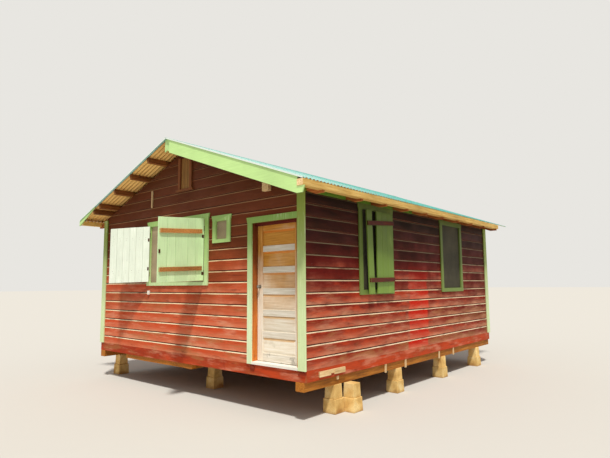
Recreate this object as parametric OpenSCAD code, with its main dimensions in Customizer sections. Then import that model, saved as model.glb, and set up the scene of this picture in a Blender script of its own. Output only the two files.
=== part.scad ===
// Small timber stilt house with a corrugated metal gable roof.
// Millimetres. +X right, +Y from the front gable to the back, +Z up, ground at z = 0.

/* [House] */
// Width of the gable walls over the siding
house_w = 5590; // [4800:10:6400]
// Depth of the house over the siding
house_d = 6680; // [6000:10:7600]
// Height of the underside of the siding above the ground
siding_z = 680; // [600:5:900]
// Height of the top of the walls above the siding's underside
wall_h = 2505; // [2440:5:2700]
// Fall of the roof for each unit of run
rise = 0.37; // [0.35:0.005:0.4]

/* [Floor] */
// Height of the floor joists
joist_h = 155; // [120:5:170]
// Thickness of a floor joist
joist_t = 50; // [38:1:60]
// Number of floor joists
joist_count = 11; // [9:1:14]
// Height of the long floor beams
beam_h = 122; // [100:1:140]
// Width of the long floor beams
beam_w = 150; // [120:5:180]
// Thickness of the floor boards
floor_t = 22; // [18:1:30]
// Thickness of the skirt boards
skirt_t = 22; // [18:1:30]
// Distance of the joint in the front skirt from the right corner
skirt_joint = 1650; // [1300:10:2000]
// Width of a pier at its foot
pier_foot = 230; // [200:5:260]
// How much narrower the upper block of a pier is than the lower one
pier_step = 40; // [25:5:50]
// How much each pier block narrows towards its top
pier_taper = 15; // [5:5:30]
// Distance from the front wall to the first pier under the right beam
pier_front_right = 735; // [600:5:800]
// Distance from the front wall to the first pier under the left beam
pier_front_left = 412; // [300:1:800]
// Distance of the middle of the loose pier blocks outside the middle of the right beam
pier_spare = 165; // [120:5:200]
// Number of piers under each long beam
pier_rows = 4; // [3:1:5]
// How far the side beams stand out past the front skirt
beam_out = 10; // [0:1:30]
// Length of the short beam under the front skirt
front_beam_len = 2100; // [1500:10:2400]
// Distance of that beam from the left corner
front_beam_left = 970; // [850:10:1200]
// Height of that beam
front_beam_h = 80; // [60:5:100]
// Width of that beam
front_beam_w = 90; // [70:5:120]
// Height of the light splice plank on the right skirt
splice_h = 76; // [60:1:90]
// Distance of the splice plank from the front corner
splice_y = 279; // [200:1:400]
// Length of the splice plank
splice_len = 598; // [500:1:700]
// Height of the splice plank's lower edge above the skirt's lower edge
splice_drop = 38; // [20:1:60]
// Width of the cleat between the two halves of the splice plank
splice_cleat = 88; // [60:1:100]
// Width of the light cleats on the right beam
cleat_w = 38; // [30:1:50]
// Thickness of the light cleats
cleat_t = 20; // [12:1:22]
// How far the light cleats reach below the beam
cleat_drop = 18; // [0:1:40]
// Height of the short cleat nearest the front
short_cleat = 52; // [40:1:90]

/* [Walls] */
// Thickness of the siding boards
siding_t = 22; // [18:1:28]
// Thickness of a stud across the wall's length
stud_t = 50; // [38:1:60]
// Depth of a stud through the wall
stud_d = 100; // [80:1:120]
// Largest distance between studs
stud_step = 640; // [560:10:760]
// Distance of the gable siding's lower edge below the top of the walls
gable_drop = 125; // [100:5:145]
// Width of a corner board
corner_w = 119; // [100:1:125]
// Thickness of corner boards and window trim
trim_t = 22; // [18:1:26]

/* [Door] */
// Width of the doorway between its jambs
door_w = 886; // [800:1:900]
// Height of the doorway above the siding's underside
door_h = 2086; // [2000:1:2100]
// Distance of the doorway from the right corner
door_right = 148; // [145:1:200]
// Thickness of the door leaf
door_t = 38; // [35:1:45]
// Distance of the door's outer face behind the siding's face
door_recess = 100; // [90:1:115]
// Gap between the door leaf and its jambs
door_gap = 6.5; // [5:0.5:8]
// Width of the door's stiles
stile_w = 110; // [90:1:130]
// Height of the rails between the door's panels
rail_h = 96; // [80:1:110]
// Height of the door's top and bottom rails
end_rail_h = 118; // [100:1:140]
// Number of panels, one above the other
panel_count = 6; // [4:1:7]
// Depth of the panels below the stiles
panel_recess = 12; // [8:1:14]
// Height of the threshold board
threshold_h = 14; // [10:1:20]
// Height of the knob above the siding's underside
knob_z = 1130; // [1000:5:1200]
// Width of the trim beside the doorway
door_casing = 96; // [80:1:98]
// Radius of the door knobs
knob_r = 26; // [22:0.5:30]
// Radius of the door's hinge knuckles
pin_r = 6; // [5:0.5:7]
// Height of a door hinge
door_hinge_h = 90; // [70:5:110]
// Width of a hinge's half on the door leaf
hinge_leaf_w = 30; // [20:1:40]
// Thickness of the hinge plates
hinge_plate_t = 2.5; // [2:0.5:3]

/* [Windows] */
// Width of the front window between its linings
front_win_w = 1627; // [1500:1:1660]
// Height of the front window
front_win_h = 1045; // [900:1:1080]
// Distance of the front window from the right corner
front_win_right = 2185; // [2170:1:2260]
// Distance of the front window's head below the top of the walls
front_win_head = 248; // [235:1:330]
// Width of the small window
small_win_w = 271; // [240:1:300]
// Height of the small window
small_win_h = 297; // [240:1:340]
// Distance of the small window from the right corner
small_win_right = 1621; // [1580:1:1640]
// Distance of the small window's head below the top of the walls
small_win_head = 313; // [250:1:400]
// Width of each side window
side_win_w = 845; // [760:1:900]
// Height of each side window
side_win_h = 1292; // [1150:1:1370]
// Distance of the side windows' heads below the top of the walls
side_win_head = 149; // [145:1:200]
// Distance of the first side window from the front corner
side_win_1 = 1402; // [1300:1:1500]
// Distance of the second side window from the front corner
side_win_2 = 4308; // [4200:1:4600]
// Width of the back window
back_win_w = 845; // [760:1:1000]
// Thickness of the window linings
lining_t = 22; // [18:1:26]
// Width of the trim beside a window or door
casing_w = 95; // [80:1:98]
// Height of the trim over a window or door
head_h = 92; // [80:1:98]
// How far the top of the head trim flares past each side
horn = 26; // [15:1:34]
// Width of the trim around the small window
small_casing = 84; // [70:1:90]
// Height of the trim under a window in the front wall
sill_h = 57; // [40:1:70]
// Height of the trim under a window in the other walls
side_sill_h = 76; // [60:1:90]
// Thickness of a shutter's planks
plank_t = 22; // [18:1:26]
// Height of a shutter's battens
batten_h = 70; // [50:1:90]
// Thickness of a shutter's battens
batten_t = 25; // [18:1:32]
// Gap around a shutter in its window
shutter_gap = 5; // [4:0.5:8]
// Height of the lower batten on a front shutter, as a share of the shutter's height
batten_low = 0.16; // [0.1:0.01:0.3]
// Height of the upper batten on a front shutter, as a share of the shutter's height
batten_high = 0.75; // [0.6:0.01:0.85]
// Distance of a front shutter's batten from the hinge edge
batten_in = 60; // [50:1:90]
// Distance of the window screens behind the siding's face
screen_in = 8; // [4:1:90]
// Thickness of the window screens
screen_t = 2; // [2:0.5:4]
// Height of a shutter hinge
knuckle_h = 80; // [50:5:100]
// Gap between a shutter and its hinge line
leaf_start = 1; // [0.5:0.5:2]
// Angle at which the front window's right shutter stands open
shutter_right_open = 83; // [60:1:88]
// Angle at which the front window's left shutter stands open
shutter_left_open = 150; // [120:1:155]
// Angle at which the side shutter stands ajar
shutter_side_open = 3; // [2:0.5:8]
// Distance of the side shutter's hinges beyond the edge of its window
side_hinge_in = 48; // [30:1:60]
// Width of the planks that are left at the side shutter's hinges
hinge_planks = 555; // [500:5:580]
// Width of the missing plank in the side shutter
missing_plank = 150; // [120:5:160]
// Width of the plank that is left at the side shutter's free edge
edge_plank = 165; // [140:5:180]
// Lean of that loose plank
plank_lean = 2.4; // [0:0.1:3]
// How far the side shutter reaches below its window
side_shutter_low = 61; // [30:1:70]
// Distance of the side shutter's top below its window's head
side_shutter_top = 6; // [2:1:20]
// Height of the side shutter's lower batten at the hinges, as a share of the shutter's height
side_batten_low = 0.142; // [0.1:0.001:0.3]
// Height of the side shutter's upper batten at the hinges, as a share of the shutter's height
side_batten_high = 0.855; // [0.7:0.001:0.87]
// Slant of the side shutter's lower batten
batten_slant_low = 1; // [0:0.1:4]
// Slant of the side shutter's upper batten
batten_slant_high = 4.4; // [0:0.1:5]
// Radius of the shutter hinges
hinge_r = 5; // [4:0.5:6]

/* [Gable] */
// Width of the vent panel in the front gable
vent_w = 270; // [220:5:320]
// Distance of the middle of the vent to the right of the ridge
vent_x = 32; // [0:1:50]
// Distance of the vent's sill below the ridge
vent_drop = 850; // [830:5:900]
// Height of the vent panel
vent_h = 570; // [400:5:590]
// Width of the posts beside the vent
vent_frame_w = 60; // [40:1:80]
// Thickness of those posts
vent_frame_t = 30; // [20:1:40]
// Width of the vent's sill
vent_sill_w = 480; // [440:5:520]
// Height of the vent's sill
vent_sill_h = 40; // [30:1:50]
// How far the vent's sill stands out of the wall
vent_sill_out = 45; // [40:1:60]
// Distance of the gable beam end from the right corner
beam_end_right = 705; // [650:5:800]
// Width and height of the gable beam end
beam_end_w = 130; // [100:5:150]
// How far the gable beam end stands out of the wall
beam_end_out = 68; // [50:1:150]
// Gap between the gable beam end and the rafter above it
beam_end_drop = 27; // [5:1:60]
// Distance of the light stick from the right corner
stick_right = 3816; // [3700:1:3900]
// Height of the light stick's foot above the gable siding's lower edge
stick_up = 243; // [200:1:300]
// Length of the light stick
stick_h = 320; // [250:5:350]
// Thickness of the light stick
stick_t = 25; // [20:1:35]

/* [Roof] */
// Overhang of the roof past the side walls
eave = 348; // [300:1:420]
// Overhang of the roof past the front gable
verge_front = 415; // [350:5:480]
// Overhang of the roof past the back gable
verge_back = 550; // [400:5:600]
// Height of a rafter
rafter_h = 75; // [70:1:100]
// Thickness of a rafter
rafter_t = 50; // [38:1:60]
// Distance from the front wall to the first rafter inside the gable rafter
rafter_first = 980; // [900:5:1100]
// Distance between rafters
rafter_step = 700; // [650:5:730]
// Depth of a purlin, which stands on edge
purlin_t = 100; // [80:1:110]
// Width of a purlin along the slope
purlin_w = 50; // [38:1:60]
// Distance of the first purlin from the ridge
purlin_first = 618; // [560:1:650]
// Distance between purlins
purlin_step = 580; // [560:1:590]
// Distance of the last purlin from the ridge
purlin_last = 2600; // [2560:1:2660]
// Width of the eave purlin
eave_purlin_w = 110; // [90:1:120]
// Height of the eave purlin
eave_purlin_h = 88; // [80:1:105]
// Distance of the eave purlin's outer face from the edge of the sheets
eave_purlin_in = 8; // [5:1:20]
// Distance of the rafters' ends from the edge of the sheets
tail_back = 40; // [30:5:60]
// How far the rafters' level tails reach below the eave purlin
tail_drop = 35; // [20:1:60]
// Thickness of the ridge board
ridge_t = 50; // [38:1:60]
// Height of the ridge board
ridge_board_h = 150; // [130:1:180]
// Depth of the corrugations
wave_depth = 16; // [12:0.5:20]
// Distance from one corrugation to the next
wave_pitch = 76; // [60:1:110]
// Number of points that shape one corrugation
wave_steps = 6; // [4:1:12]
// Distance of the top of each sheet from the ridge line
sheet_start = 8; // [5:1:20]
// Thickness of the roof sheets
sheet_t = 2; // [1.5:0.1:3]
// Width of each wing of the ridge cap
cap_w = 180; // [150:5:220]
// Height of the barge board
barge_h = 212; // [160:1:225]
// Drop of the barge board below the top of the sheets
barge_drop = 21; // [20:1:60]
// Distance of the barge board's upper end from the ridge
barge_start = 95; // [60:5:240]
// Distance of the barge board behind the front edge of the sheets
barge_in = 12; // [8:1:30]
// Height of the level cut at the barge board's foot
barge_foot = 50; // [30:5:60]
// Height of the block at the front apex
apex_h = 205; // [150:5:220]
// How far the apex block runs behind the barge board
apex_lap = 60; // [30:5:80]
// Height of the tapered barge piece at its tip
barge_tip = 12; // [8:1:20]
// Length of the tapered barge piece on the left slope
barge_tail = 650; // [500:10:900]
// Height of that piece at the eave
barge_tail_h = 100; // [70:1:115]
// Length of the frieze board along the right wall
frieze_len = 3270; // [3000:10:3500]
// Height of the frieze board
frieze_h = 130; // [110:1:140]

/* [Hidden] */

// Clearance between pieces that lie against each other
seat = 0.3;

half_w = house_w / 2;
wall_t = siding_t + stud_d;
frame_x = half_w - siding_t;
inner_x = half_w - wall_t;
floor_z = siding_z + floor_t;
joist_z = siding_z - joist_h;
beam_z = joist_z - beam_h;
pitch = atan(rise);

// The open front shutter reaches furthest forward and so sets the front of the whole object
shutter_w = front_win_w / 2 - 1.5 * shutter_gap;
hinge_out = hinge_r + seat;
shutter_reach = trim_t + hinge_out + (shutter_w + leaf_start) * sin(shutter_right_open)
  + (batten_t - hinge_out) * cos(shutter_right_open);
front_reach = max(verge_front, shutter_reach);
front_y = (front_reach - house_d - verge_back) / 2;

// Heights of the roof's layers at a distance x from the ridge
sheet_drop = (wave_depth + sheet_t) / cos(pitch) + seat;
purlin_drop = purlin_t / cos(pitch) + seat;
rafter_drop = rafter_h / cos(pitch);
plate_z = siding_z + wall_h;
ridge_z = plate_z + rise * inner_x + rafter_drop + purlin_drop + sheet_drop;
function roof_z(x) = ridge_z - rise * abs(x);
function under_sheet(x) = roof_z(x) - sheet_drop;
function under_purlin(x) = under_sheet(x) - purlin_drop;
function under_rafter(x) = under_purlin(x) - rafter_drop;
wall_top = under_rafter(half_w) - seat;
gable_z = plate_z - gable_drop;
eave_x = half_w + eave;
purlin_y0 = -verge_front + barge_in + trim_t;
purlin_y1 = house_d + verge_back - barge_in;

// Places of what repeats
side_beam_x = half_w - skirt_t - beam_w / 2;
function pier_ys(first) = [for (i = [0 : pier_rows - 1])
  first + i * (house_d - 2 * first) / (pier_rows - 1)];
first_joist = skirt_t + joist_t / 2;
joist_ys = [for (i = [0 : joist_count - 1])
  first_joist + i * (house_d - 2 * first_joist) / (joist_count - 1)];
gable_rafter = siding_t + rafter_t / 2;
rafter_ys = concat([gable_rafter], [for (y = [rafter_first : rafter_step : house_d - rafter_first / 2]) y],
  [house_d - gable_rafter]);
purlin_xs = concat([for (i = [0 : 3]) purlin_first + i * purlin_step], [purlin_last]);

// A window is [left edge, sill height, width, height], along its wall
front_win = [half_w - front_win_right - front_win_w, plate_z - front_win_head - front_win_h,
  front_win_w, front_win_h];
small_win = [half_w - small_win_right - small_win_w, plate_z - small_win_head - small_win_h,
  small_win_w, small_win_h];
side_win_z = plate_z - side_win_head - side_win_h;
side_win_a = [side_win_1, side_win_z, side_win_w, side_win_h];
side_win_b = [side_win_2, side_win_z, side_win_w, side_win_h];
back_win = [-back_win_w / 2, plate_z - front_win_head - side_win_h, back_win_w, side_win_h];
frieze_z = plate_z - side_win_head + head_h + seat;

// The side shutter's own width and height, and the height of its foot
side_leaf_w = hinge_planks + missing_plank + edge_plank;
side_leaf_h = side_win_h + side_shutter_low - side_shutter_top;
side_leaf_z = side_win_z - side_shutter_low;
side_hinge_y = side_win_1 + side_win_w + side_hinge_in;

// The eave purlin's inner face and underside
eave_purlin_x = eave_x - eave_purlin_in - eave_purlin_w;
eave_purlin_z = under_sheet(eave_x - eave_purlin_in) - eave_purlin_h;

// The doorway
door_x1 = half_w - door_right;
door_x0 = door_x1 - door_w;
door_z0 = floor_z + threshold_h;
door_z1 = siding_z + door_h;
jamb_t = door_right - wall_t;
jamb_y1 = door_recess + door_t;
leaf_w = door_w - 2 * door_gap;
leaf_h = door_z1 - door_z0 - 2 * door_gap;
leaf_z = door_z0 + door_gap;
pin_x = door_x1;
pin_y = jamb_y1 + pin_r + seat;

// Places of the studs: at each side of every opening, and evenly between
function fill(a, b) = let (n = ceil((b - a) / stud_step)) [for (i = [1 : 1 : n - 1]) a + (b - a) * i / n];
function left_of(w) = w[0] - lining_t - stud_t / 2;
function right_of(w) = w[0] + w[2] + lining_t + stud_t / 2;
stud_z0 = floor_z + stud_t;
stud_z1 = plate_z - stud_t;
end_stud = inner_x - stud_t / 2 - seat;
door_stud = door_x0 - jamb_t - stud_t / 2;
front_stud_xs = concat([-end_stud], fill(-end_stud, left_of(front_win)),
  [left_of(front_win), right_of(front_win), left_of(small_win), right_of(small_win), door_stud]);
first_stud = siding_t + stud_t / 2;
last_stud = house_d - first_stud;
side_stud_ys = concat([first_stud], fill(first_stud, left_of(side_win_a)),
  [left_of(side_win_a), right_of(side_win_a)], fill(right_of(side_win_a), left_of(side_win_b)),
  [left_of(side_win_b), right_of(side_win_b)], fill(right_of(side_win_b), last_stud), [last_stud]);
back_stud_xs = concat([-end_stud], fill(-end_stud, left_of(back_win)),
  [left_of(back_win), right_of(back_win)], fill(right_of(back_win), end_stud), [end_stud]);
vent_stud = vent_w / 2 + vent_frame_w + stud_t / 2;
gable_stud_step = (inner_x - vent_stud) / 3;
gable_stud_xs = [for (i = [0 : 2]) vent_stud + i * gable_stud_step];

// Moves what is drawn from the front wall's face to the part's own origin
module house() { translate([0, front_y, 0]) children(); }

// A flat shape drawn along a wall becomes a plate that stands out past the siding by out
module plate(side, t, out = 0) {
  if (side == "front") translate([0, t - out, 0]) rotate([90, 0, 0]) linear_extrude(t) children();
  if (side == "back") translate([0, house_d + out, 0]) rotate([90, 0, 0]) linear_extrude(t) children();
  if (side == "right") translate([half_w + out - t, 0, 0]) rotate([90, 0, 90]) linear_extrude(t) children();
  if (side == "left") translate([-half_w - out, 0, 0]) rotate([90, 0, 90]) linear_extrude(t) children();
}

// A block between two corners
module block(a, b) { translate(a) cube(b - a); }

// A flat shape across the house becomes a bar from y0 to y1
module bar(y0, y1) { translate([0, y1, 0]) rotate([90, 0, 0]) linear_extrude(y1 - y0) children(); }

// A piece on the right and the same on the left
module both_sides() { children(); mirror([1, 0, 0]) children(); }

// A window's clear opening, grown by m on every side
module window_hole(w, m = 0) { translate([w[0] - m, w[1] - m]) square([w[2] + 2 * m, w[3] + 2 * m]); }

// Head trim from x0 to x1 over the height z, with ends that flare outwards
module head_shape(x0, x1, z, h0 = horn, h1 = horn) {
  polygon([[x0, z], [x1, z], [x1 + h1, z + head_h], [x0 - h0, z + head_h]]);
}

// Trim around a window and the lining through the wall, as one ring
module window_frame(side, w, casing = casing_w, sill = sill_h) {
  x0 = w[0] - casing;
  x1 = w[0] + w[2] + casing;
  plate(side, trim_t, trim_t) difference() {
    union() {
      translate([x0, w[1] - sill]) square([x1 - x0, w[3] + sill]);
      head_shape(x0, x1, w[1] + w[3]);
    }
    window_hole(w);
  }
  plate(side, wall_t) difference() { window_hole(w, lining_t); window_hole(w); }
}

// Insect screen inside a window's lining
module screen(side, w) { plate(side, screen_t, -screen_in) window_hole(w, -seat); }

// Piers, each of two tapered blocks, and a loose pair of blocks beside the first right one
module piers() color("tan") house() {
  for (y = pier_ys(pier_front_right)) for (x = [0, side_beam_x]) pier(x, y);
  for (y = pier_ys(pier_front_left)) pier(-side_beam_x, y);
  pier(side_beam_x + pier_spare, pier_front_right + pier_foot + seat);
}

module pier(x, y) {
  tier = beam_z / 2;
  for (i = [0, 1]) let (foot = pier_foot - i * pier_step)
    translate([x, y, i * tier]) linear_extrude(tier, scale = (foot - pier_taper) / foot)
      square(foot, center = true);
}

// Long beams on the piers, and a short one under the front skirt
module floor_beams() color("peru") house() {
  for (s = [-1, 1]) block([s * side_beam_x - beam_w / 2, -beam_out, beam_z],
    [s * side_beam_x + beam_w / 2, house_d - skirt_t, joist_z]);
  block([-beam_w / 2, skirt_t + front_beam_w + joist_t, beam_z], [beam_w / 2, house_d - skirt_t, joist_z]);
  x0 = -half_w + front_beam_left;
  block([x0, skirt_t, joist_z - front_beam_h], [x0 + front_beam_len, skirt_t + front_beam_w, joist_z]);
}

module floor_joists() color("peru") house()
  for (y = joist_ys) block([-half_w + skirt_t, y - joist_t / 2, joist_z],
    [half_w - skirt_t, y + joist_t / 2, siding_z]);

module floor_boards() color("burlywood") house()
  block([-frame_x, siding_t, siding_z], [frame_x, house_d - siding_t, floor_z]);

module skirt_boards() color("firebrick") house() {
  joint = half_w - skirt_joint;
  block([-half_w, 0, joist_z], [joint, skirt_t, siding_z]);
  block([joint + seat, 0, joist_z], [half_w, skirt_t, siding_z]);
  block([-half_w, house_d - skirt_t, joist_z], [half_w, house_d, siding_z]);
  both_sides() block([half_w - skirt_t, skirt_t + seat, joist_z],
    [half_w, house_d - skirt_t - seat, siding_z]);
}

// Two light planks with a cleat between them, nailed over the joint in the right skirt
module splice_plank() color("wheat") house() {
  z0 = joist_z + splice_drop;
  half = (splice_len - splice_cleat) / 2;
  for (y = [splice_y, splice_y + half + splice_cleat])
    block([half_w, y, z0], [half_w + skirt_t, y + half, z0 + splice_h]);
  block([half_w, splice_y + half + seat, z0 + splice_drop / 2],
    [half_w + skirt_t / 2, splice_y + half + splice_cleat - seat, z0 + splice_h]);
}

// Short light cleats nailed upright on the right beam at some of the joists, the first one cut short
module beam_cleats() color("wheat") house() for (i = [1, 3, 4, 6, 7])
  block([half_w - skirt_t, joist_ys[i], i == 1 ? joist_z - short_cleat : beam_z - cleat_drop],
    [half_w - skirt_t + cleat_t, joist_ys[i] + cleat_w, joist_z]);

module plates_at(z, door) {
  both_sides() block([inner_x, siding_t, z], [frame_x, house_d - siding_t, z + stud_t]);
  block([-inner_x + seat, siding_t, z], [door ? door_stud + stud_t / 2 : inner_x - seat, wall_t, z + stud_t]);
  block([-inner_x + seat, house_d - wall_t, z], [inner_x - seat, house_d - siding_t, z + stud_t]);
}

module wall_plates() color("burlywood") house() {
  plates_at(floor_z, true);
  plates_at(stud_z1, false);
}

// Upright at place a along a wall, with its outer face against the siding
module stud(side, a, z0 = stud_z0, z1 = stud_z1) {
  plate(side, stud_d, -siding_t) translate([a - stud_t / 2, z0]) square([stud_t, z1 - z0]);
}

module wall_studs() color("burlywood") house() {
  for (x = front_stud_xs) stud("front", x);
  for (y = side_stud_ys, side = ["right", "left"]) stud(side, y);
  for (x = back_stud_xs) stud("back", x);
  for (y = [siding_t, house_d - siding_t - rafter_t], x = gable_stud_xs) both_sides() gable_stud(y, x);
}

// Short stud from the top plate up to a gable rafter
module gable_stud(y, x) {
  x0 = x - stud_t / 2;
  x1 = x + stud_t / 2;
  bar(y, y + rafter_t) polygon([[x0, plate_z], [x1, plate_z], [x1, under_rafter(x1)], [x0, under_rafter(x0)]]);
}

// Rails under and over each window, between the studs beside it
module rails(side, w) {
  for (z = [w[1] - lining_t - stud_t, w[1] + w[3] + lining_t])
    plate(side, stud_d, -siding_t) translate([w[0] - lining_t, z]) square([w[2] + 2 * lining_t, stud_t]);
}

module wall_rails() color("burlywood") house() {
  rails("front", front_win);
  rails("front", small_win);
  rails("back", back_win);
  for (side = ["right", "left"], w = [side_win_a, side_win_b]) rails(side, w);
  block([door_stud + stud_t / 2, siding_t, door_z1 + jamb_t], [inner_x, wall_t, door_z1 + jamb_t + stud_t]);
}

// Front wall from the left corner to the doorway
module front_siding() color("brown") house() plate("front", siding_t) difference() {
  translate([-half_w, siding_z]) square([door_x0 - jamb_t + half_w, gable_z - siding_z]);
  window_hole(front_win, lining_t);
  window_hole(small_win, lining_t);
}

module front_siding_over_door() color("brown") house() {
  z0 = door_z1 + jamb_t;
  plate("front", siding_t) translate([door_x0 - jamb_t, z0]) square([half_w - door_x0 + jamb_t, gable_z - z0]);
}

module front_siding_by_door() color("brown") house()
  block([door_x1 + jamb_t, 0, siding_z], [half_w, siding_t, door_z1 + jamb_t]);

// Gable above the eaves, notched around the ridge board
module gable_shape() {
  r = ridge_t / 2 + seat;
  ridge_foot = under_sheet(r) - ridge_board_h - seat;
  right = [[half_w, gable_z], [half_w, under_purlin(half_w) - seat], [r, under_purlin(r) - seat],
    [r, ridge_foot]];
  polygon(concat(right, [for (i = [3 : -1 : 0]) [-right[i][0], right[i][1]]]));
}

module front_gable_siding() color("brown") house() plate("front", siding_t) difference() {
  gable_shape();
  translate([vent_x - vent_w / 2, ridge_z - vent_drop]) square([vent_w, vent_h]);
}

module back_gable_siding() color("brown") house() plate("back", siding_t) gable_shape();

module side_siding(side) plate(side, siding_t) difference() {
  translate([siding_t, siding_z]) square([house_d - 2 * siding_t, wall_top - siding_z]);
  window_hole(side_win_a, lining_t);
  window_hole(side_win_b, lining_t);
}

module right_siding() color("brown") house() side_siding("right");

module left_siding() color("brown") house() side_siding("left");

module back_siding() color("brown") house() plate("back", siding_t) difference() {
  translate([-half_w, siding_z]) square([house_w, gable_z - siding_z]);
  window_hole(back_win, lining_t);
}

// Corner boards on both gable walls, and on the side walls at the back corners only
module corner_boards() color("palegreen") house() both_sides() {
  for (y = [-trim_t, house_d]) block([half_w - corner_w, y, siding_z],
    [half_w + trim_t, y + trim_t, under_purlin(half_w + trim_t) - seat]);
  block([half_w, house_d - corner_w, siding_z], [half_w + trim_t, house_d, frieze_z - seat]);
}

module front_window_frames() color("palegreen") house() {
  window_frame("front", front_win);
  window_frame("front", small_win, small_casing);
}

module side_window_frames() color("palegreen") house()
  for (side = ["right", "left"], w = [side_win_a, side_win_b]) window_frame(side, w, sill = side_sill_h);

module back_window_frame() color("palegreen") house() window_frame("back", back_win, sill = side_sill_h);

module window_screens() color("dimgray") house() {
  screen("front", front_win);
  screen("front", small_win);
  screen("back", back_win);
  for (side = ["right", "left"], w = [side_win_a, side_win_b]) screen(side, w);
}

// Puts a leaf at its hinge: the leaf is drawn from the hinge along +X with its outer face towards -Y
module front_hinge(x, open)
  translate([x, -trim_t - hinge_out, front_win[1] + shutter_gap]) rotate([0, 0, -open]) children();

// Planked leaf with two battens on its outer face
module leaf(w, h) {
  block([leaf_start, hinge_out, 0], [leaf_start + w, hinge_out + plank_t, h]);
  battens(leaf_start + batten_in, leaf_start + w, h);
}

module battens(x0, x1, h) for (z = [h * batten_low, h * batten_high])
  block([x0, hinge_out - batten_t, z], [x1, hinge_out, z + batten_h]);

module front_shutter_left() color("palegreen") house()
  front_hinge(front_win[0], shutter_left_open) leaf(shutter_w, front_win_h - 2 * shutter_gap);

module front_shutter_right() color("palegreen") house()
  mirror([1, 0, 0]) front_hinge(-front_win[0] - front_win_w, shutter_right_open)
    leaf(shutter_w, front_win_h - 2 * shutter_gap);

// Hinge line of the shutter on the right wall, at the window's far side
module side_hinge() translate([half_w + trim_t + hinge_out, side_hinge_y, side_leaf_z])
  rotate([0, 0, 90]) mirror([1, 0, 0]) children();

// Shutter on the window's trim, ajar, with one plank gone and the plank at its free edge leaning
module side_shutter() color("palegreen") house() side_hinge() rotate([0, 0, -shutter_side_open]) {
  y0 = hinge_r - plank_t;
  block([hinge_out, y0, 0], [hinge_out + hinge_planks, hinge_r, side_leaf_h]);
  translate([hinge_out + side_leaf_w - edge_plank, y0, side_leaf_h]) rotate([0, plank_lean, 0])
    translate([0, 0, -side_leaf_h]) cube([edge_plank, plank_t, side_leaf_h]);
  side_batten(side_batten_low, batten_slant_low);
  side_batten(side_batten_high, batten_slant_high);
}

// Slanting batten from the hinges to the outer edge of the leaning plank
module side_batten(share, slant) {
  z = share * side_leaf_h;
  reach = side_leaf_w - (side_leaf_h - z) * tan(plank_lean);
  translate([hinge_out, hinge_r - plank_t - seat - batten_t, z]) rotate([0, slant, 0])
    cube([reach, batten_t, batten_h]);
}

// Knuckles at which the shutters hang
module shutter_hinges() color("saddlebrown") house() {
  for (x = [front_win[0], front_win[0] + front_win_w], z = [0.15, 0.85])
    knuckle([x, -trim_t - hinge_out, front_win[1] + z * front_win_h]);
  for (z = [0.25, 0.75])
    knuckle([half_w + trim_t + hinge_out, side_hinge_y, side_leaf_z + z * side_leaf_h]);
}

module knuckle(p) translate(p) cylinder(h = knuckle_h, r = hinge_r, center = true, $fn = 24);

// Jambs and head that line the doorway
module door_frame() color("sienna") house() {
  for (x = [door_x0 - jamb_t, door_x1]) block([x, 0, door_z0], [x + jamb_t, jamb_y1, door_z1 + jamb_t]);
  block([door_x0 - seat, 0, door_z1], [door_x1 + seat, jamb_y1, door_z1 + jamb_t]);
}

// Trim on the left of the doorway and over it, up to the corner board
module door_trim() color("palegreen") house() plate("front", trim_t, trim_t) {
  translate([door_x0 - door_casing, siding_z]) square([door_casing, door_z1 - siding_z]);
  head_shape(door_x0 - door_casing, half_w - corner_w - seat, door_z1, horn, 0);
}

module threshold() color("ivory") house() {
  block([door_x0 + seat, -trim_t, siding_z], [door_x1 + jamb_t - seat, siding_t - seat, door_z0]);
  block([door_x0 - jamb_t, siding_t - seat, floor_z], [door_x1 + jamb_t, jamb_y1, door_z0]);
}

// Fixed halves of the door's hinges, on the right jamb
module hinge_plates() color("dimgray") house() for (z = door_hinge_zs())
  block([pin_x + pin_r + seat, jamb_y1, z],
    [door_x1 + jamb_t - seat, jamb_y1 + hinge_plate_t, z + door_hinge_h]);

function door_hinge_zs() = [for (f = [0.08, 0.46, 0.84]) leaf_z + f * leaf_h];

// Leaf of stiles and rails around sunk panels
module door_leaf() color("wheat") house() translate([door_x0 + door_gap, door_recess, leaf_z]) {
  panel_h = (leaf_h - 2 * end_rail_h - (panel_count - 1) * rail_h) / panel_count;
  difference() {
    cube([leaf_w, door_t, leaf_h]);
    for (i = [0 : panel_count - 1], y = [-1, door_t - panel_recess])
      translate([stile_w, y, end_rail_h + i * (panel_h + rail_h)])
        cube([leaf_w - 2 * stile_w, panel_recess + 1, panel_h]);
  }
}

// A knob on each face of the leaf
module door_knobs() color("gray") house() {
  x = door_x0 + door_gap + stile_w / 2;
  z = siding_z + knob_z;
  translate([x, door_recess, z]) rotate([90, 0, 0]) knob();
  translate([x, jamb_y1, z]) rotate([-90, 0, 0]) knob();
}

// Rose, neck and grip of a knob, as shares of its radius
module knob() rotate_extrude($fn = 32) polygon(knob_r * [[0, 0], [1.08, 0], [1.08, 0.15], [0.38, 0.27],
  [0.35, 1], [0.77, 1.23], [1, 1.6], [0.92, 2], [0.58, 2.23], [0, 2.27]]);

// Moving halves of the door's hinges
module door_hinges() color("dimgray") house() for (z = door_hinge_zs()) {
  translate([pin_x, pin_y, z]) cylinder(h = door_hinge_h, r = pin_r, $fn = 24);
  block([door_x1 - door_gap - hinge_leaf_w, jamb_y1, z], [pin_x, jamb_y1 + hinge_plate_t, z + door_hinge_h]);
}

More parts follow.
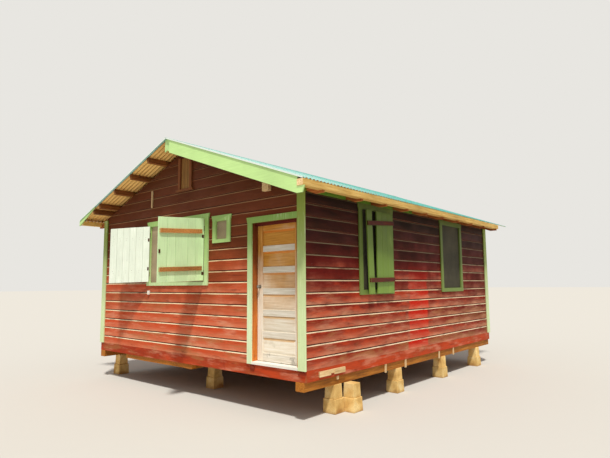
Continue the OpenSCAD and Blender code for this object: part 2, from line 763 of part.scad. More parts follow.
// Boarded vent in the front gable: panel, side posts and a sill
module gable_vent() color("rosybrown") house() translate([vent_x, 0, ridge_z - vent_drop]) {
  block([-vent_w / 2 + seat, -seat, seat], [vent_w / 2 - seat, siding_t, vent_h - seat]);
  for (x = [-vent_w / 2 - vent_frame_w, vent_w / 2])
    block([x, -vent_frame_t, 0], [x + vent_frame_w, 0, vent_h]);
  block([-vent_sill_w / 2, -vent_sill_out, -vent_sill_h], [vent_sill_w / 2, 0, 0]);
}

// End of a beam that stands out of the front gable
module gable_beam_end() color("wheat") house() {
  x = half_w - beam_end_right;
  z1 = under_rafter(x + beam_end_w / 2) - beam_end_drop;
  block([x - beam_end_w / 2, -beam_end_out, z1 - beam_end_w], [x + beam_end_w / 2, 0, z1]);
}

// Light stick nailed upright on the front wall
module wall_stick() color("wheat") house() translate([half_w - stick_right, -stick_t, gable_z + stick_up])
  cube([stick_t, stick_t, stick_h]);

// Rafter with a birdsmouth over the wall plate, a seat for the eave purlin and a tail cut level
module rafter_shape() {
  r = ridge_t / 2 + seat;
  tail_x = eave_x - tail_back;
  tail_z = under_rafter(eave_x);
  seat_x = eave_purlin_x - seat;
  seat_z = eave_purlin_z - seat;
  difference() {
    polygon([[r, under_purlin(r)], [r, under_rafter(r)], [inner_x, plate_z], [frame_x, plate_z],
      [frame_x, under_rafter(frame_x)], [tail_x, under_rafter(tail_x)], [tail_x, seat_z],
      [seat_x, seat_z], [seat_x, under_purlin(seat_x)]]);
    translate([half_w, tail_z]) square([eave, eave_purlin_z - tail_drop - tail_z]);
  }
}

module rafters() color("peru") house() both_sides()
  for (y = rafter_ys) bar(y - rafter_t / 2, y + rafter_t / 2) rafter_shape();

module ridge_board() color("peru") house() {
  z1 = under_sheet(ridge_t / 2);
  block([-ridge_t / 2, purlin_y0 + trim_t + seat, z1 - ridge_board_h], [ridge_t / 2, purlin_y1, z1]);
}

// Purlins across the rafters, and the stout one along the eave, which stops at the back gable
module purlins() color("goldenrod") house() {
  both_sides() for (x = purlin_xs) translate([x, purlin_y0, under_sheet(x)]) rotate([0, pitch, 0])
    translate([-purlin_w / 2, 0, -purlin_t]) cube([purlin_w, purlin_y1 - purlin_y0, purlin_t]);
  eave_purlin(-verge_front);
  mirror([1, 0, 0]) eave_purlin(purlin_y0);
}

module eave_purlin(y0) block([eave_purlin_x, y0, eave_purlin_z],
  [eave_purlin_x + eave_purlin_w, house_d, eave_purlin_z + eave_purlin_h]);

// Corrugated sheet: a wave across the slope, drawn out down the slope
module roof_slope() {
  len = house_d + verge_front + verge_back;
  waves = round(len / wave_pitch);
  steps = waves * wave_steps;
  wave = [for (i = [0 : steps]) [-verge_front + len * i / steps,
    wave_depth / 2 * (1 + cos(360 * i / wave_steps))]];
  over = [for (i = [steps : -1 : 0]) wave[i] + [0, sheet_t]];
  translate([0, 0, ridge_z]) rotate([0, pitch, 0])
    translate([sheet_start, 0, -wave_depth - sheet_t]) rotate([90, 0, 90])
      linear_extrude(eave_x / cos(pitch) - sheet_start) polygon(concat(wave, over));
}

module roof_right() color("turquoise") house() roof_slope();

module roof_left() color("turquoise") house() mirror([1, 0, 0]) roof_slope();

module ridge_cap() color("turquoise") house() {
  lift = sheet_t / cos(pitch);
  bar(-verge_front, house_d + verge_back) polygon([[0, ridge_z + seat], [cap_w, roof_z(cap_w) + seat],
    [cap_w, roof_z(cap_w) + seat + lift], [0, ridge_z + seat + lift],
    [-cap_w, roof_z(cap_w) + seat + lift], [-cap_w, roof_z(cap_w) + seat]]);
}

// Barge board down the right slope, cut square at its end, level at its foot and notched for the eave purlin
module barge_shape() {
  drop = barge_h / cos(pitch);
  function top(x) = roof_z(x) - barge_drop;
  notch_x = eave_purlin_x - seat;
  notch_z = eave_purlin_z - seat;
  foot_z = top(eave_x) - drop + barge_foot;
  foot_x = (ridge_z - barge_drop - drop - foot_z) / rise;
  end_x = eave_x - rise * (notch_z - foot_z);
  polygon([[barge_start, top(barge_start)], [notch_x, top(notch_x)], [notch_x, notch_z],
    [eave_x, notch_z], [end_x, foot_z], [foot_x, foot_z], [barge_start, top(barge_start) - drop]]);
}

// Barge board on the front's right slope, the block at its apex and the tapered piece low on the left
module barge_boards() color("palegreen") house() {
  y0 = -verge_front + barge_in;
  bar(y0, y0 + trim_t - seat) barge_shape();
  bar(y0 + trim_t, y0 + 2 * trim_t) apex_shape();
  mirror([1, 0, 0]) bar(y0, y0 + trim_t - seat) tail_shape();
}

module apex_shape() {
  x = barge_start + apex_lap;
  polygon([[-apex_lap, under_sheet(apex_lap) - seat], [0, under_sheet(0) - seat], [x, under_sheet(x) - seat],
    [x, under_sheet(x) - apex_h], [0, under_sheet(0) - apex_h],
    [-apex_lap, under_sheet(apex_lap) - apex_h]]);
}

module tail_shape() {
  x0 = eave_x - barge_tail;
  polygon([[x0, under_sheet(x0) - seat], [eave_x, under_sheet(eave_x) - seat],
    [eave_x, under_sheet(eave_x) - barge_tail_h], [x0, under_sheet(x0) - barge_tip]]);
}

// Frieze board under the front part of the right eave, in lengths between the rafters
module frieze_board() color("darkgreen") house() {
  half = rafter_t / 2 + seat;
  for (i = [0 : len(rafter_ys) - 1]) {
    y0 = i == 0 ? 0 : rafter_ys[i - 1] + half;
    y1 = min(rafter_ys[i] - half, frieze_len);
    if (y1 > y0) block([half_w, y0, frieze_z], [half_w + trim_t, y1, frieze_z + frieze_h]);
  }
}

piers();
floor_beams();
floor_joists();
floor_boards();
skirt_boards();
splice_plank();
beam_cleats();
wall_plates();
wall_studs();
wall_rails();
front_siding();
front_siding_over_door();
front_siding_by_door();
front_gable_siding();
right_siding();
left_siding();
back_siding();
back_gable_siding();
corner_boards();
front_window_frames();
side_window_frames();
back_window_frame();
window_screens();
front_shutter_left();
front_shutter_right();
side_shutter();
shutter_hinges();
door_frame();
door_trim();
threshold();
hinge_plates();
door_leaf();
door_knobs();
door_hinges();
gable_vent();
gable_beam_end();
wall_stick();
rafters();
ridge_board();
purlins();
roof_left();
roof_right();
ridge_cap();
barge_boards();
frieze_board();
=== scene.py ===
import bpy
import bmesh
import random
from math import atan, cos, pi, radians, sin, tan
from mathutils import Matrix, Vector, noise


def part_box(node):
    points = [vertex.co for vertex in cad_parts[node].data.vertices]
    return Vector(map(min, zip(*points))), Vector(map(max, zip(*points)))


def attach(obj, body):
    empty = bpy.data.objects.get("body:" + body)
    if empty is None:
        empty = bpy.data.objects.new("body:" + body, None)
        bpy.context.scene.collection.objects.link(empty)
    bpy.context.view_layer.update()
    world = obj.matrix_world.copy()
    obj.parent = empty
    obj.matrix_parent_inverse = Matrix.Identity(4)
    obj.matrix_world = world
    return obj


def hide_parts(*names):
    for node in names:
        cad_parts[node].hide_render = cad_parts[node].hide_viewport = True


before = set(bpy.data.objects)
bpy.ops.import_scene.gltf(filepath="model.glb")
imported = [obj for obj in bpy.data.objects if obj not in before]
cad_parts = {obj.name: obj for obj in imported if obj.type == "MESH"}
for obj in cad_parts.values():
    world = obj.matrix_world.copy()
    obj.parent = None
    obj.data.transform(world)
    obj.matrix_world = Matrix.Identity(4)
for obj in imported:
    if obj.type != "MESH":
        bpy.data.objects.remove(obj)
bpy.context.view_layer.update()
print("frame loaded:", len(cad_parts), "nodes")

# sizes shared by several pieces, in metres
house = {
    "halfWidth": 2.795, "depth": 6.680, "sidingBottom": 0.680, "ridge": 4.3804, "rise": 0.37,
    "siding": 0.022, "trim": 0.022, "lining": 0.022, "skirt": 0.022, "eave": 0.348,
    "vergeFront": 0.415, "vergeBack": 0.550, "sheetDrop": 0.0195, "purlinDrop": 0.1069, "seat": 0.0003,
    "tall": 4.4,
}
half = house["halfWidth"]
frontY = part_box("front_siding")[0].y
backY = frontY + house["depth"]
slope = atan(house["rise"])
underPurlin = house["ridge"] - house["sheetDrop"] - house["purlinDrop"]


def onFront(a, d, z):
    return Vector((a, frontY + d, z))


def onBack(a, d, z):
    return Vector((a, backY - d, z))


def onRight(a, d, z):
    return Vector((half - d, frontY + a, z))


def onLeft(a, d, z):
    return Vector((-half + d, frontY + a, z))


def asIs(*point):
    return Vector(point)


# openings as left, bottom, right, top in the wall's own plane
openings = {
    "front": [(-1.017, 1.892, 0.610, 2.937), (0.903, 2.575, 1.174, 2.872)],
    "side": [(1.402, 1.744, 2.247, 3.036), (4.308, 1.744, 5.153, 3.036)],
    "back": [(-0.4225, 1.645, 0.4225, 2.937)],
    "door": (1.735, 0.680, 2.673, 2.792),
    "vent": (-0.103, 3.530, 0.167, 4.100),
}


def tone(rgb):
    # a colour as a picture program gives it, 0 to 255
    return tuple((c / 255 / 12.92) if c / 255 <= 0.04045 else ((c / 255 + 0.055) / 1.055) ** 2.4
            for c in rgb) + (1.0,)


making = {}  # the node tree that is being made, and its shader's sockets


def feed(socket, value):
    if isinstance(value, bpy.types.NodeSocket):
        making["tree"].links.new(value, socket)
    else:
        socket.default_value = value


def addNode(kind, inputs=None, **props):
    node = making["tree"].nodes.new("ShaderNode" + kind)
    for key, value in props.items():
        setattr(node, key, value)
    for key, value in (inputs or {}).items():
        feed(node.inputs[key], value)
    return node


def blend(factor, first, second, mode="MIX"):
    mix = addNode("Mix", data_type="RGBA", blend_type=mode)
    for index, value in ((0, factor), (6, first), (7, second)):
        feed(mix.inputs[index], tone(value) if isinstance(value, tuple) else value)
    return mix.outputs[2]


def ramp(factor, stops):
    # each stop is a place and a colour, or a place and a grey
    item = addNode("ValToRGB", {"Fac": factor})
    marks = item.color_ramp.elements
    while len(marks) < len(stops):
        marks.new(0.5)
    for mark, (place, value) in zip(marks, stops):
        mark.position = place
        mark.color = tone(value) if isinstance(value, tuple) else (value, value, value, 1.0)
    return item.outputs["Color"]


def shaded(colour, field, *greys):
    return blend(1.0, colour, ramp(field, greys), "MULTIPLY")


def maths(operation, first, second):
    return addNode("Math", {0: first, 1: second}, operation=operation).outputs[0]


def plus(first, second):
    return maths("ADD", first, second)


def times(first, second):
    return maths("MULTIPLY", first, second)


def moved(value, field, amount):
    # shifts a value up and down as the field swings about its middle
    return plus(value, times(maths("SUBTRACT", field, 0.5), amount))


def spread(value, low, high, newLow=0.0, newHigh=1.0):
    item = addNode("MapRange", {"Value": value, "From Min": low, "From Max": high,
            "To Min": newLow, "To Max": newHigh}, interpolation_type="SMOOTHSTEP")
    return item.outputs["Result"]


def cloudy(place, scale, detail, roughness=0.5, distortion=0.0):
    return addNode("TexNoise", {"Vector": place, "Scale": scale, "Detail": detail,
            "Roughness": roughness, "Distortion": distortion}).outputs["Fac"]


def drawnOut(place, axis, along, across):
    # the place, scaled so that a pattern on it runs long along one axis
    scale = [across, across, across]
    scale["xyz".index(axis)] = along
    return addNode("Mapping", {"Vector": place, "Scale": scale}).outputs[0]


def heightOf(place):
    return addNode("SeparateXYZ", {0: place}).outputs[2]


def startMaterial(name, roughness, metallic=0.0, specular=0.25):
    material = bpy.data.materials.new(name)
    material.use_nodes = True
    tree = material.node_tree
    making.update(tree=tree, shader=tree.nodes["Principled BSDF"].inputs)
    for key, value in (("Roughness", roughness), ("Metallic", metallic), ("Specular IOR Level", specular)):
        making["shader"][key].default_value = value
    finishes[name] = material


def endMaterial(colour, bump, rough=None):
    # bump: a field, a strength and a depth; rough: a field, its low and high, and the roughness at each
    feed(making["shader"]["Base Color"], colour)
    if rough:
        feed(making["shader"]["Roughness"], spread(*rough))
    node = addNode("Bump", {"Height": bump[0], "Strength": bump[1], "Distance": bump[2]})
    feed(making["shader"]["Normal"], node.outputs["Normal"])


def fieldsOf():
    # the place on the house, and one random value for every separate board
    place = addNode("TexCoord").outputs["Object"]
    return place, addNode("NewGeometry").outputs["Random Per Island"]


def grainField(axis):
    # long streaks along one axis, shifted on every separate board
    place, island = fieldsOf()
    shift = addNode("VectorMath", {0: (37.0, 19.0, 53.0), "Scale": island}, operation="SCALE")
    own = addNode("VectorMath", {0: place, 1: shift.outputs[0]}, operation="ADD").outputs[0]
    streaks = cloudy(drawnOut(own, axis, 1.3, 26.0), 2.2, 7.0, 0.62, 0.25)
    blotches = cloudy(own, 1.7, 4.0, 0.55)
    return place, island, streaks, blotches


def timberMaterial(name, axis, dark, middle, light, roughness=0.72):
    startMaterial(name, roughness)
    _, island, streaks, blotches = grainField(axis)
    colour = ramp(streaks, [(0.30, dark), (0.50, middle), (0.72, light)])
    colour = shaded(colour, blotches, (0.28, 0.72), (0.7, 1.08))
    colour = shaded(colour, island, (0.0, 0.80), (0.5, 1.0), (1.0, 1.15))
    endMaterial(colour, (streaks, 0.45, 0.0012), (streaks, 0.3, 0.7, roughness - 0.1, roughness + 0.12))


def paintMaterial(name, axis, base, worn, wear=0.5, top=None):
    # brushed paint, thin in places, with specks of dirt; top is its painted shade up under the eaves
    startMaterial(name, 0.6)
    place, island, streaks, blotches = grainField(axis)
    patches = times(streaks, blotches)
    if top:
        # painted shade: the paint turns to the top tone higher up the wall
        level = plus(heightOf(place), times(blotches, 0.5))
        base = blend(spread(level, 1.3, 3.3), base, top)
    colour = blend(spread(patches, 0.30, 0.46, 0.0, wear), base, worn)
    colour = shaded(colour, blotches, (0.25, 0.86), (0.72, 1.04))
    colour = shaded(colour, streaks, (0.3, 0.93), (0.7, 1.05))
    colour = shaded(colour, island, (0.0, 0.92), (1.0, 1.06))
    dirt = spread(cloudy(place, 60.0, 3.0), 0.66, 0.74, 0.0, 0.35)
    colour = blend(dirt, colour, (96, 92, 66))
    endMaterial(colour, (streaks, 0.3, 0.0008), (patches, 0.2, 0.5, 0.52, 0.75))


def wallLevel(place, *wobbles):
    # height up the wall as a share of the house's, moved up and down by the given fields
    level = maths("DIVIDE", heightOf(place), house["tall"])
    for field, amount in wobbles:
        level = moved(level, field, amount)
    return level


def patchOn(colour, where, scuffs, island, blotches):
    # the brighter red patch low on the right wall, and painted shade on the boards behind it, darker towards
    # the far end
    ragged = plus(moved(where[1], scuffs, 0.25), times(island, 0.10))
    inside = times(spread(ragged, *patch["from"]), spread(ragged, *patch["to"], 1.0, 0.0))
    inside = times(inside, spread(where[2], *patch["top"], 1.0, 0.0))
    inside = times(inside, spread(blotches, 0.28, 0.6, 0.5, 0.95))
    colour = blend(inside, colour, patch["colour"])
    # painted shade, deepening towards the back of the wall
    shade = spread(where[1], *patch["shade"], 0.0, 0.35)
    return blend(shade, colour, (52, 22, 16))


def stainMaterial(name, axis, stops, worn, boards=None, patched=False):
    # red-brown stain, darker up under the eaves partly as painted shade, faded and scuffed lower down; boards
    # gives the laps, for the paler lower half of each board
    startMaterial(name, 0.6, 0.0, 0.08)
    place, island, streaks, blotches = grainField(axis)
    where = addNode("SeparateXYZ", {0: place}).outputs
    level = wallLevel(place, (island, 0.10), (blotches, 0.30))
    low = spread(level, 0.26, 0.50, 1.0, 0.04)
    colour = ramp(level, stops)
    long = drawnOut(place, axis, 0.9, 5.0)
    scuffs = cloudy(long, 1.6, 8.0, 0.62)
    clouds = plus(scuffs, times(island, 0.12))
    browned = times(spread(clouds, 0.58, 0.72, 0.0, 0.6), low)
    colour = blend(browned, colour, (164, 110, 66))
    fresh = times(spread(clouds, 0.44, 0.56, 0.5, 0.0), low)
    colour = blend(fresh, colour, (206, 72, 32))
    if patched:
        colour = patchOn(colour, where, scuffs, island, blotches)
    colour = shaded(colour, streaks, (0.26, 0.80), (0.5, 0.99), (0.74, 1.12))
    pale = addNode("TexNoise", {"Vector": long, "Scale": 2.3, "Detail": 6.0, "Roughness": 0.6, "W": 3.0},
            noise_dimensions="4D").outputs["Fac"]
    scuffed = times(spread(pale, 0.5, 0.68, 0.0, worn), low)
    colour = blend(scuffed, colour, (222, 158, 128))
    if boards:
        above = maths("SUBTRACT", where[2], boards[0])
        share = maths("FRACT", maths("DIVIDE", above, boards[1]), 0.0)
        faded = times(spread(share, 0.0, 0.7, 0.42, 0.0), spread(pale, 0.3, 0.6, 0.4, 1.0))
        colour = blend(times(faded, low), colour, (232, 168, 132))
    dark = cloudy(long, 3.1, 5.0, 0.6)
    colour = blend(spread(dark, 0.58, 0.72, 0.0, 0.4), colour, (74, 26, 18))
    endMaterial(colour, (streaks, 0.35, 0.001), (blotches, 0.3, 0.7, 0.5, 0.72))


def edgeMaterial(name, axis, stops, stain):
    # the bare bevel along each board: cream low down, darker higher up partly as painted shade under the
    # eaves, with smears of stain
    startMaterial(name, 0.7)
    place, island, streaks, blotches = grainField(axis)
    colour = ramp(wallLevel(place, (island, 0.06), (blotches, 0.16)), stops)
    smears = cloudy(drawnOut(place, axis, 2.6, 40.0), 1.0, 6.0, 0.6)
    colour = blend(spread(smears, 0.5, 0.66, 0.0, 0.75), colour, stain)
    endMaterial(colour, (streaks, 0.3, 0.0008), (smears, 0.3, 0.7, 0.6, 0.8))


def doorMaterial(name, axis, fresh, weathered, low, high, drift=1.3):
    # bare golden wood that has gone grey-white from the foot upwards; on the jamb the dark upper tones are
    # painted shade
    startMaterial(name, 0.65)
    place, island, streaks, blotches = grainField(axis)
    golden = ramp(streaks, list(zip((0.3, 0.5, 0.7), fresh)))
    bleached = ramp(streaks, list(zip((0.3, 0.5, 0.7), weathered)))
    height = heightOf(place)
    level = moved(height, blotches, drift)
    colour = blend(spread(level, low, high, 1.0, 0.0), golden, bleached)
    colour = shaded(colour, island, (0.0, 0.9), (1.0, 1.06))
    stains = spread(cloudy(place, 7.0, 5.0), 0.56, 0.68)
    foot = spread(height, 0.70, 1.15, 0.6, 0.0)
    colour = blend(times(stains, foot), colour, (84, 74, 60))
    endMaterial(colour, (streaks, 0.4, 0.001), (streaks, 0.3, 0.7, 0.5, 0.75))


def concreteMaterial(name):
    startMaterial(name, 0.9, 0.0, 0.1)
    place, island = fieldsOf()
    broad = cloudy(place, 5.0, 6.0)
    sand = cloudy(place, 90.0, 4.0, 0.7)
    pits = addNode("TexVoronoi", {"Vector": place, "Scale": 34.0}).outputs["Distance"]
    colour = ramp(broad, [(0.3, (204, 160, 92)), (0.5, (236, 198, 126)), (0.72, (250, 224, 164))])
    colour = blend(spread(sand, 0.42, 0.66, 0.0, 0.28), colour, (142, 108, 64))
    splash = plus(heightOf(place), times(broad, 0.16))
    colour = blend(spread(splash, 0.07, 0.15, 0.55, 0.0), colour, (150, 92, 50))
    colour = shaded(colour, island, (0.0, 0.9), (1.0, 1.08))
    rough = plus(times(sand, 0.6), spread(pits, 0.0, 0.25, 0.0, 0.5))
    endMaterial(colour, (rough, 0.6, 0.004), (sand, 0.3, 0.7, 0.82, 0.98))


def sheetMaterial(name, base, streak, spot, roughness, bleached=None):
    # coated steel: water marks down the slope, dull spots, and a painted highlight of glare, paler towards
    # the front verge
    startMaterial(name, roughness, 0.0, 0.5)
    place, island = fieldsOf()
    marks = cloudy(drawnOut(place, "y", 14.0, 0.7), 2.0, 6.0, 0.6)
    spots = cloudy(place, 9.0, 5.0)
    # painted highlight: bleached is the glare's pale tone, strongest at the front verge
    if bleached:
        along = addNode("SeparateXYZ", {0: place}).outputs[1]
        along = plus(along, times(marks, 1.6))
        base = blend(spread(along, frontY + 0.2, frontY + 4.6, 0.8, 0.0), base, bleached)
    colour = blend(spread(marks, 0.48, 0.72, 0.0, 0.45), base, streak)
    colour = blend(spread(spots, 0.58, 0.72, 0.0, 0.4), colour, spot)
    colour = shaded(colour, island, (0.0, 0.93), (1.0, 1.03))
    endMaterial(colour, (spots, 0.15, 0.001), (spots, 0.3, 0.7, roughness - 0.08, roughness + 0.2))


def meshMaterial(name, dark, light, thread):
    # woven insect screen: its threads are finer than a pixel, so a veil with a faint weave
    startMaterial(name, 0.75)
    place = addNode("TexCoord").outputs["Object"]
    weave = addNode("TexWave", {"Vector": place, "Scale": 90.0, "Distortion": 0.6},
            bands_direction="Z").outputs["Fac"]
    colour = ramp(cloudy(place, 3.0, 5.0), [(0.3, dark), (0.7, light)])
    colour = blend(spread(weave, 0.3, 0.8, 0.0, 0.3), colour, thread)
    endMaterial(colour, (weave, 0.2, 0.0006))


def metalMaterial(name, clean, rust, amount, roughness=0.5):
    startMaterial(name, roughness, 0.7, 0.5)
    spots = cloudy(addNode("TexCoord").outputs["Object"], 40.0, 6.0, 0.7)
    rusty = spread(spots, 0.62 - amount * 0.3, 0.72 - amount * 0.3)
    endMaterial(blend(rusty, clean, rust), (spots, 0.3, 0.0006), (rusty, 0.0, 1.0, roughness, 0.9))


finishes = {}
patch = {
    "from": (frontY + 2.90, frontY + 2.95), "to": (frontY + 3.62, frontY + 3.69), "top": (1.4, 2.3),
    "shade": (frontY + 3.7, frontY + 6.2), "colour": (200, 30, 6),
}
frontBoards, sideBoards = (0.834, 0.1772), (0.846, 0.178)  # first lap's height, and the step between laps
# tones up the wall, each with its height as a share of the house's; the darker tones higher up, and the much
# darker right wall, are partly painted shade under the eaves
stainAndShadeStops = {
    "front": [(0.14, (204, 88, 50)), (0.33, (196, 84, 48)), (0.46, (154, 68, 38)), (0.60, (108, 52, 28)),
            (0.84, (88, 46, 24))],
    "right": [(0.14, (160, 58, 34)), (0.33, (128, 32, 17)), (0.45, (100, 14, 7)), (0.58, (54, 14, 8)),
            (0.70, (32, 18, 12))],
    "back": [(0.14, (160, 66, 38)), (0.40, (126, 46, 28)), (0.62, (88, 34, 22)), (0.84, (72, 34, 20))],
    "skirt": [(0.1, (180, 70, 36)), (0.16, (160, 56, 30))],
    "block": [(0.1, (132, 44, 24)), (0.16, (116, 38, 22))],
}
# wood: grain's axis, then the dark, middle and light tone
timbers = {
    "boardBack": ("x", (120, 84, 54), (156, 112, 72), (182, 138, 94)),
    "batten": ("x", (150, 94, 44), (190, 126, 66), (214, 156, 92)),
    "sideBatten": ("y", (62, 26, 18), (92, 38, 24), (120, 56, 36)),
    "timberX": ("x", (128, 84, 46), (176, 124, 70), (204, 156, 96)),
    "timberY": ("y", (138, 78, 22), (190, 116, 36), (214, 146, 62)),
    "timberZ": ("z", (128, 84, 46), (176, 124, 70), (204, 156, 96)),
    "eaveTimber": ("y", (190, 140, 62), (232, 190, 106), (246, 214, 140)),
    # painted shade: the purlins under the sheets are darker than the eave ones
    "purlinTimber": ("y", (104, 60, 28), (140, 84, 40), (168, 108, 56)),
    "rafterTimber": ("x", (128, 68, 30), (174, 100, 46), (200, 126, 66)),
    # painted shade: the head stop's dark red stands for the shade under the door head
    "headStop": ("x", (84, 22, 10), (104, 30, 14), (124, 42, 22)),
    "paleWood": ("y", (204, 166, 112), (236, 202, 148), (246, 222, 178)),
    "paleCleat": ("z", (198, 160, 112), (232, 200, 150), (244, 220, 178)),
    "ventWood": ("z", (112, 76, 34), (146, 104, 52), (170, 128, 72)),
    "ventFrame": ("z", (104, 54, 26), (138, 78, 40), (162, 102, 58)),
}
# paint: brush's axis, its tone, its worn tone, the amount of wear, and its painted shade up under the eaves
paints = {
    "mintUpright": ("z", (222, 240, 186), (236, 244, 214), 0.6, (140, 160, 66)),
    "mintTrim": ("z", (230, 248, 204), (240, 248, 222), 0.6, (130, 168, 76)),
    "mintLevel": ("x", (202, 240, 158), (222, 244, 188)),
    "mintWindow": ("z", (222, 244, 190), (236, 246, 214), 0.6, (158, 196, 112)),
    # painted shade: the side wall's trims, its shutter leaf and the frieze are darker copies of the mint
    # paint
    "mintSide": ("z", (126, 148, 74), (160, 176, 112), 0.4, (92, 108, 46)),
    "frieze": ("y", (98, 140, 42), (130, 160, 80), 0.4),
    "sideLeaf": ("z", (136, 170, 74), (166, 190, 116), 0.4, (92, 112, 40)),
    "mintLeaf": ("z", (218, 250, 194), (234, 249, 216)),
    "paleLeaf": ("z", (240, 250, 234), (248, 250, 244), 0.7),
    "whitePaint": ("x", (240, 236, 226), (200, 188, 164), 0.6),
}
# door wood: grain's axis, golden tones, weathered tones, and the heights between which they change; the
# jamb's dark upper tones are painted shade
doorWoods = {
    # painted shade: the jamb's upper tones are dark where the door head shades it
    "jamb": ("z", ((88, 38, 14), (112, 54, 22), (134, 72, 34)),
            ((176, 92, 32), (214, 124, 50), (230, 152, 78)), 1.2, 2.5),
    "doorStile": ("z", ((160, 100, 36), (200, 136, 56), (222, 168, 92)),
            ((218, 204, 178), (238, 229, 212), (248, 244, 234)), 1.2, 2.6),
    "doorRail": ("x", ((156, 96, 28), (194, 130, 44), (214, 158, 76)),
            ((200, 192, 172), (220, 212, 196), (240, 235, 224)), 2.36, 2.68, 0.4),
    "doorPanel": ("x", ((172, 112, 34), (194, 134, 48), (208, 152, 70)),
            ((222, 210, 186), (236, 227, 208), (246, 240, 228)), 1.1, 2.3),
    "doorBevel": ("x", ((196, 106, 26), (216, 130, 44), (226, 154, 80)),
            ((190, 146, 98), (214, 176, 130), (230, 202, 164)), 1.5, 2.3),
}
stainMaterial("frontStain", "x", stainAndShadeStops["front"], 0.5, frontBoards)
stainMaterial("rightStain", "y", stainAndShadeStops["right"], 0.32, sideBoards, True)
stainMaterial("leftStain", "y", stainAndShadeStops["back"], 0.4, sideBoards)
stainMaterial("backStain", "x", stainAndShadeStops["back"], 0.4, frontBoards)
stainMaterial("skirtStain", "x", stainAndShadeStops["skirt"], 0.5)
stainMaterial("skirtSide", "y", stainAndShadeStops["skirt"], 0.45)
stainMaterial("skirtBlock", "x", stainAndShadeStops["block"], 0.1)
# painted shade: the recess under each lap is dark where the board above casts its shadow
timberMaterial("paintedLapShade", "x", (60, 22, 14), (84, 30, 18), (104, 40, 24), 0.75)
# bevel tones up the wall; the darker upper ones are partly painted shade
edgeMaterial("frontEdge", "x", [(0.2, (246, 226, 190)), (0.44, (232, 206, 164)), (0.62, (166, 128, 88)),
        (0.84, (128, 94, 58))], (132, 62, 36))
edgeMaterial("sideEdge", "y", [(0.2, (244, 220, 186)), (0.36, (222, 196, 160)), (0.5, (142, 126, 96)),
        (0.66, (82, 72, 50))], (96, 36, 22))
for make, table in ((timberMaterial, timbers), (paintMaterial, paints), (doorMaterial, doorWoods)):
    for name, values in table.items():
        make(name, *values)
concreteMaterial("concrete")
# the last tone is a painted highlight of glare near the front verge
sheetMaterial("roofTop", (58, 176, 164), (140, 204, 196), (180, 216, 210), 0.34, (176, 214, 206))
# painted highlight: the turned-down verge edge is near-white as glare on it
sheetMaterial("roofLipGlare", (236, 246, 238), (214, 234, 220), (196, 222, 206), 0.4)
# the underside's golden tone is partly its own tan, partly painted bounce light from the ground
sheetMaterial("roofUnderBounce", (246, 200, 118), (230, 178, 96), (250, 214, 148), 0.6)
meshMaterial("sunnyScreen", (128, 112, 88), (172, 154, 122), (196, 180, 148))
meshMaterial("shadyScreen", (48, 45, 34), (70, 66, 50), (92, 88, 66))
metalMaterial("hinge", (88, 66, 48), (96, 50, 28), 0.6)
metalMaterial("knob", (150, 146, 138), (96, 76, 56), 0.1, 0.35)
metalMaterial("nail", (120, 112, 100), (100, 58, 38), 0.7)
print("materials made:", len(finishes))


def addBox(bm, place, low, high, finish=0):
    points = [(x, y, z) for x in (low[0], high[0]) for y in (low[1], high[1]) for z in (low[2], high[2])]
    corners = [bm.verts.new(place(*p)) for p in points]
    for ring in ((0, 1, 3, 2), (4, 6, 7, 5), (0, 4, 5, 1), (2, 3, 7, 6), (0, 2, 6, 4), (1, 5, 7, 3)):
        bm.faces.new([corners[i] for i in ring]).material_index = finish
    return corners


def addRun(bm, place, rings, sides, cap=0):
    # skins a row of equal rings of points and caps both ends; sides are the skin's finishes
    made = [[bm.verts.new(place(*p)) for p in ring] for ring in rings]
    count = len(rings[0])
    for first, second in zip(made, made[1:]):
        for i in range(count):
            j = (i + 1) % count
            face = bm.faces.new((first[i], first[j], second[j], second[i]))
            face.material_index = sides[i % len(sides)]
    for ring in (made[0], made[-1]):
        bm.faces.new(ring).material_index = cap


def addObject(name, data):
    item = bpy.data.objects.new(name, data)
    bpy.context.scene.collection.objects.link(item)
    return item


def newObject(name, bm):
    bmesh.ops.recalc_face_normals(bm, faces=list(bm.faces))
    mesh = bpy.data.meshes.new(name)
    bm.to_mesh(mesh)
    bm.free()
    return addObject(name, mesh)


def finishPiece(name, bm, materials, replaced=(), bevel=0.0, body="house"):
    if bevel:
        bmesh.ops.bevel(bm, geom=list(bm.edges), offset=bevel, segments=1, affect="EDGES",
                clamp_overlap=True, profile=0.6)
    piece = newObject(name, bm)
    for material in materials:
        piece.data.materials.append(finishes[material])
    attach(piece, body)
    if replaced:
        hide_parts(*replaced)
    return piece


def cutAway(piece, bm):
    # takes the closed solids in bm out of the piece's mesh
    cutter = newObject("cutter", bm)
    step = piece.modifiers.new("openings", "BOOLEAN")
    step.operation = "DIFFERENCE"
    step.solver = "EXACT"
    step.object = cutter
    graph = bpy.context.evaluated_depsgraph_get()
    cut = bpy.data.meshes.new_from_object(piece.evaluated_get(graph))
    piece.modifiers.clear()
    piece.data = cut
    bpy.data.objects.remove(cutter)


siding = {
    "bevelHeight": 0.031, "bevelDepth": 0.0055, "lapHeight": 0.016, "lapDepth": 0.0105, "waver": 0.0036,
    "proud": 0.0014, "cupped": 0.0012, "ringStep": 0.45, "laid": 0.0005, "butt": 0.0008,
    "shortest": 1.8, "longest": 5.7, "stub": 0.5, "seed": 5, "gableTop": 4.26, "cutDepth": 0.05,
}
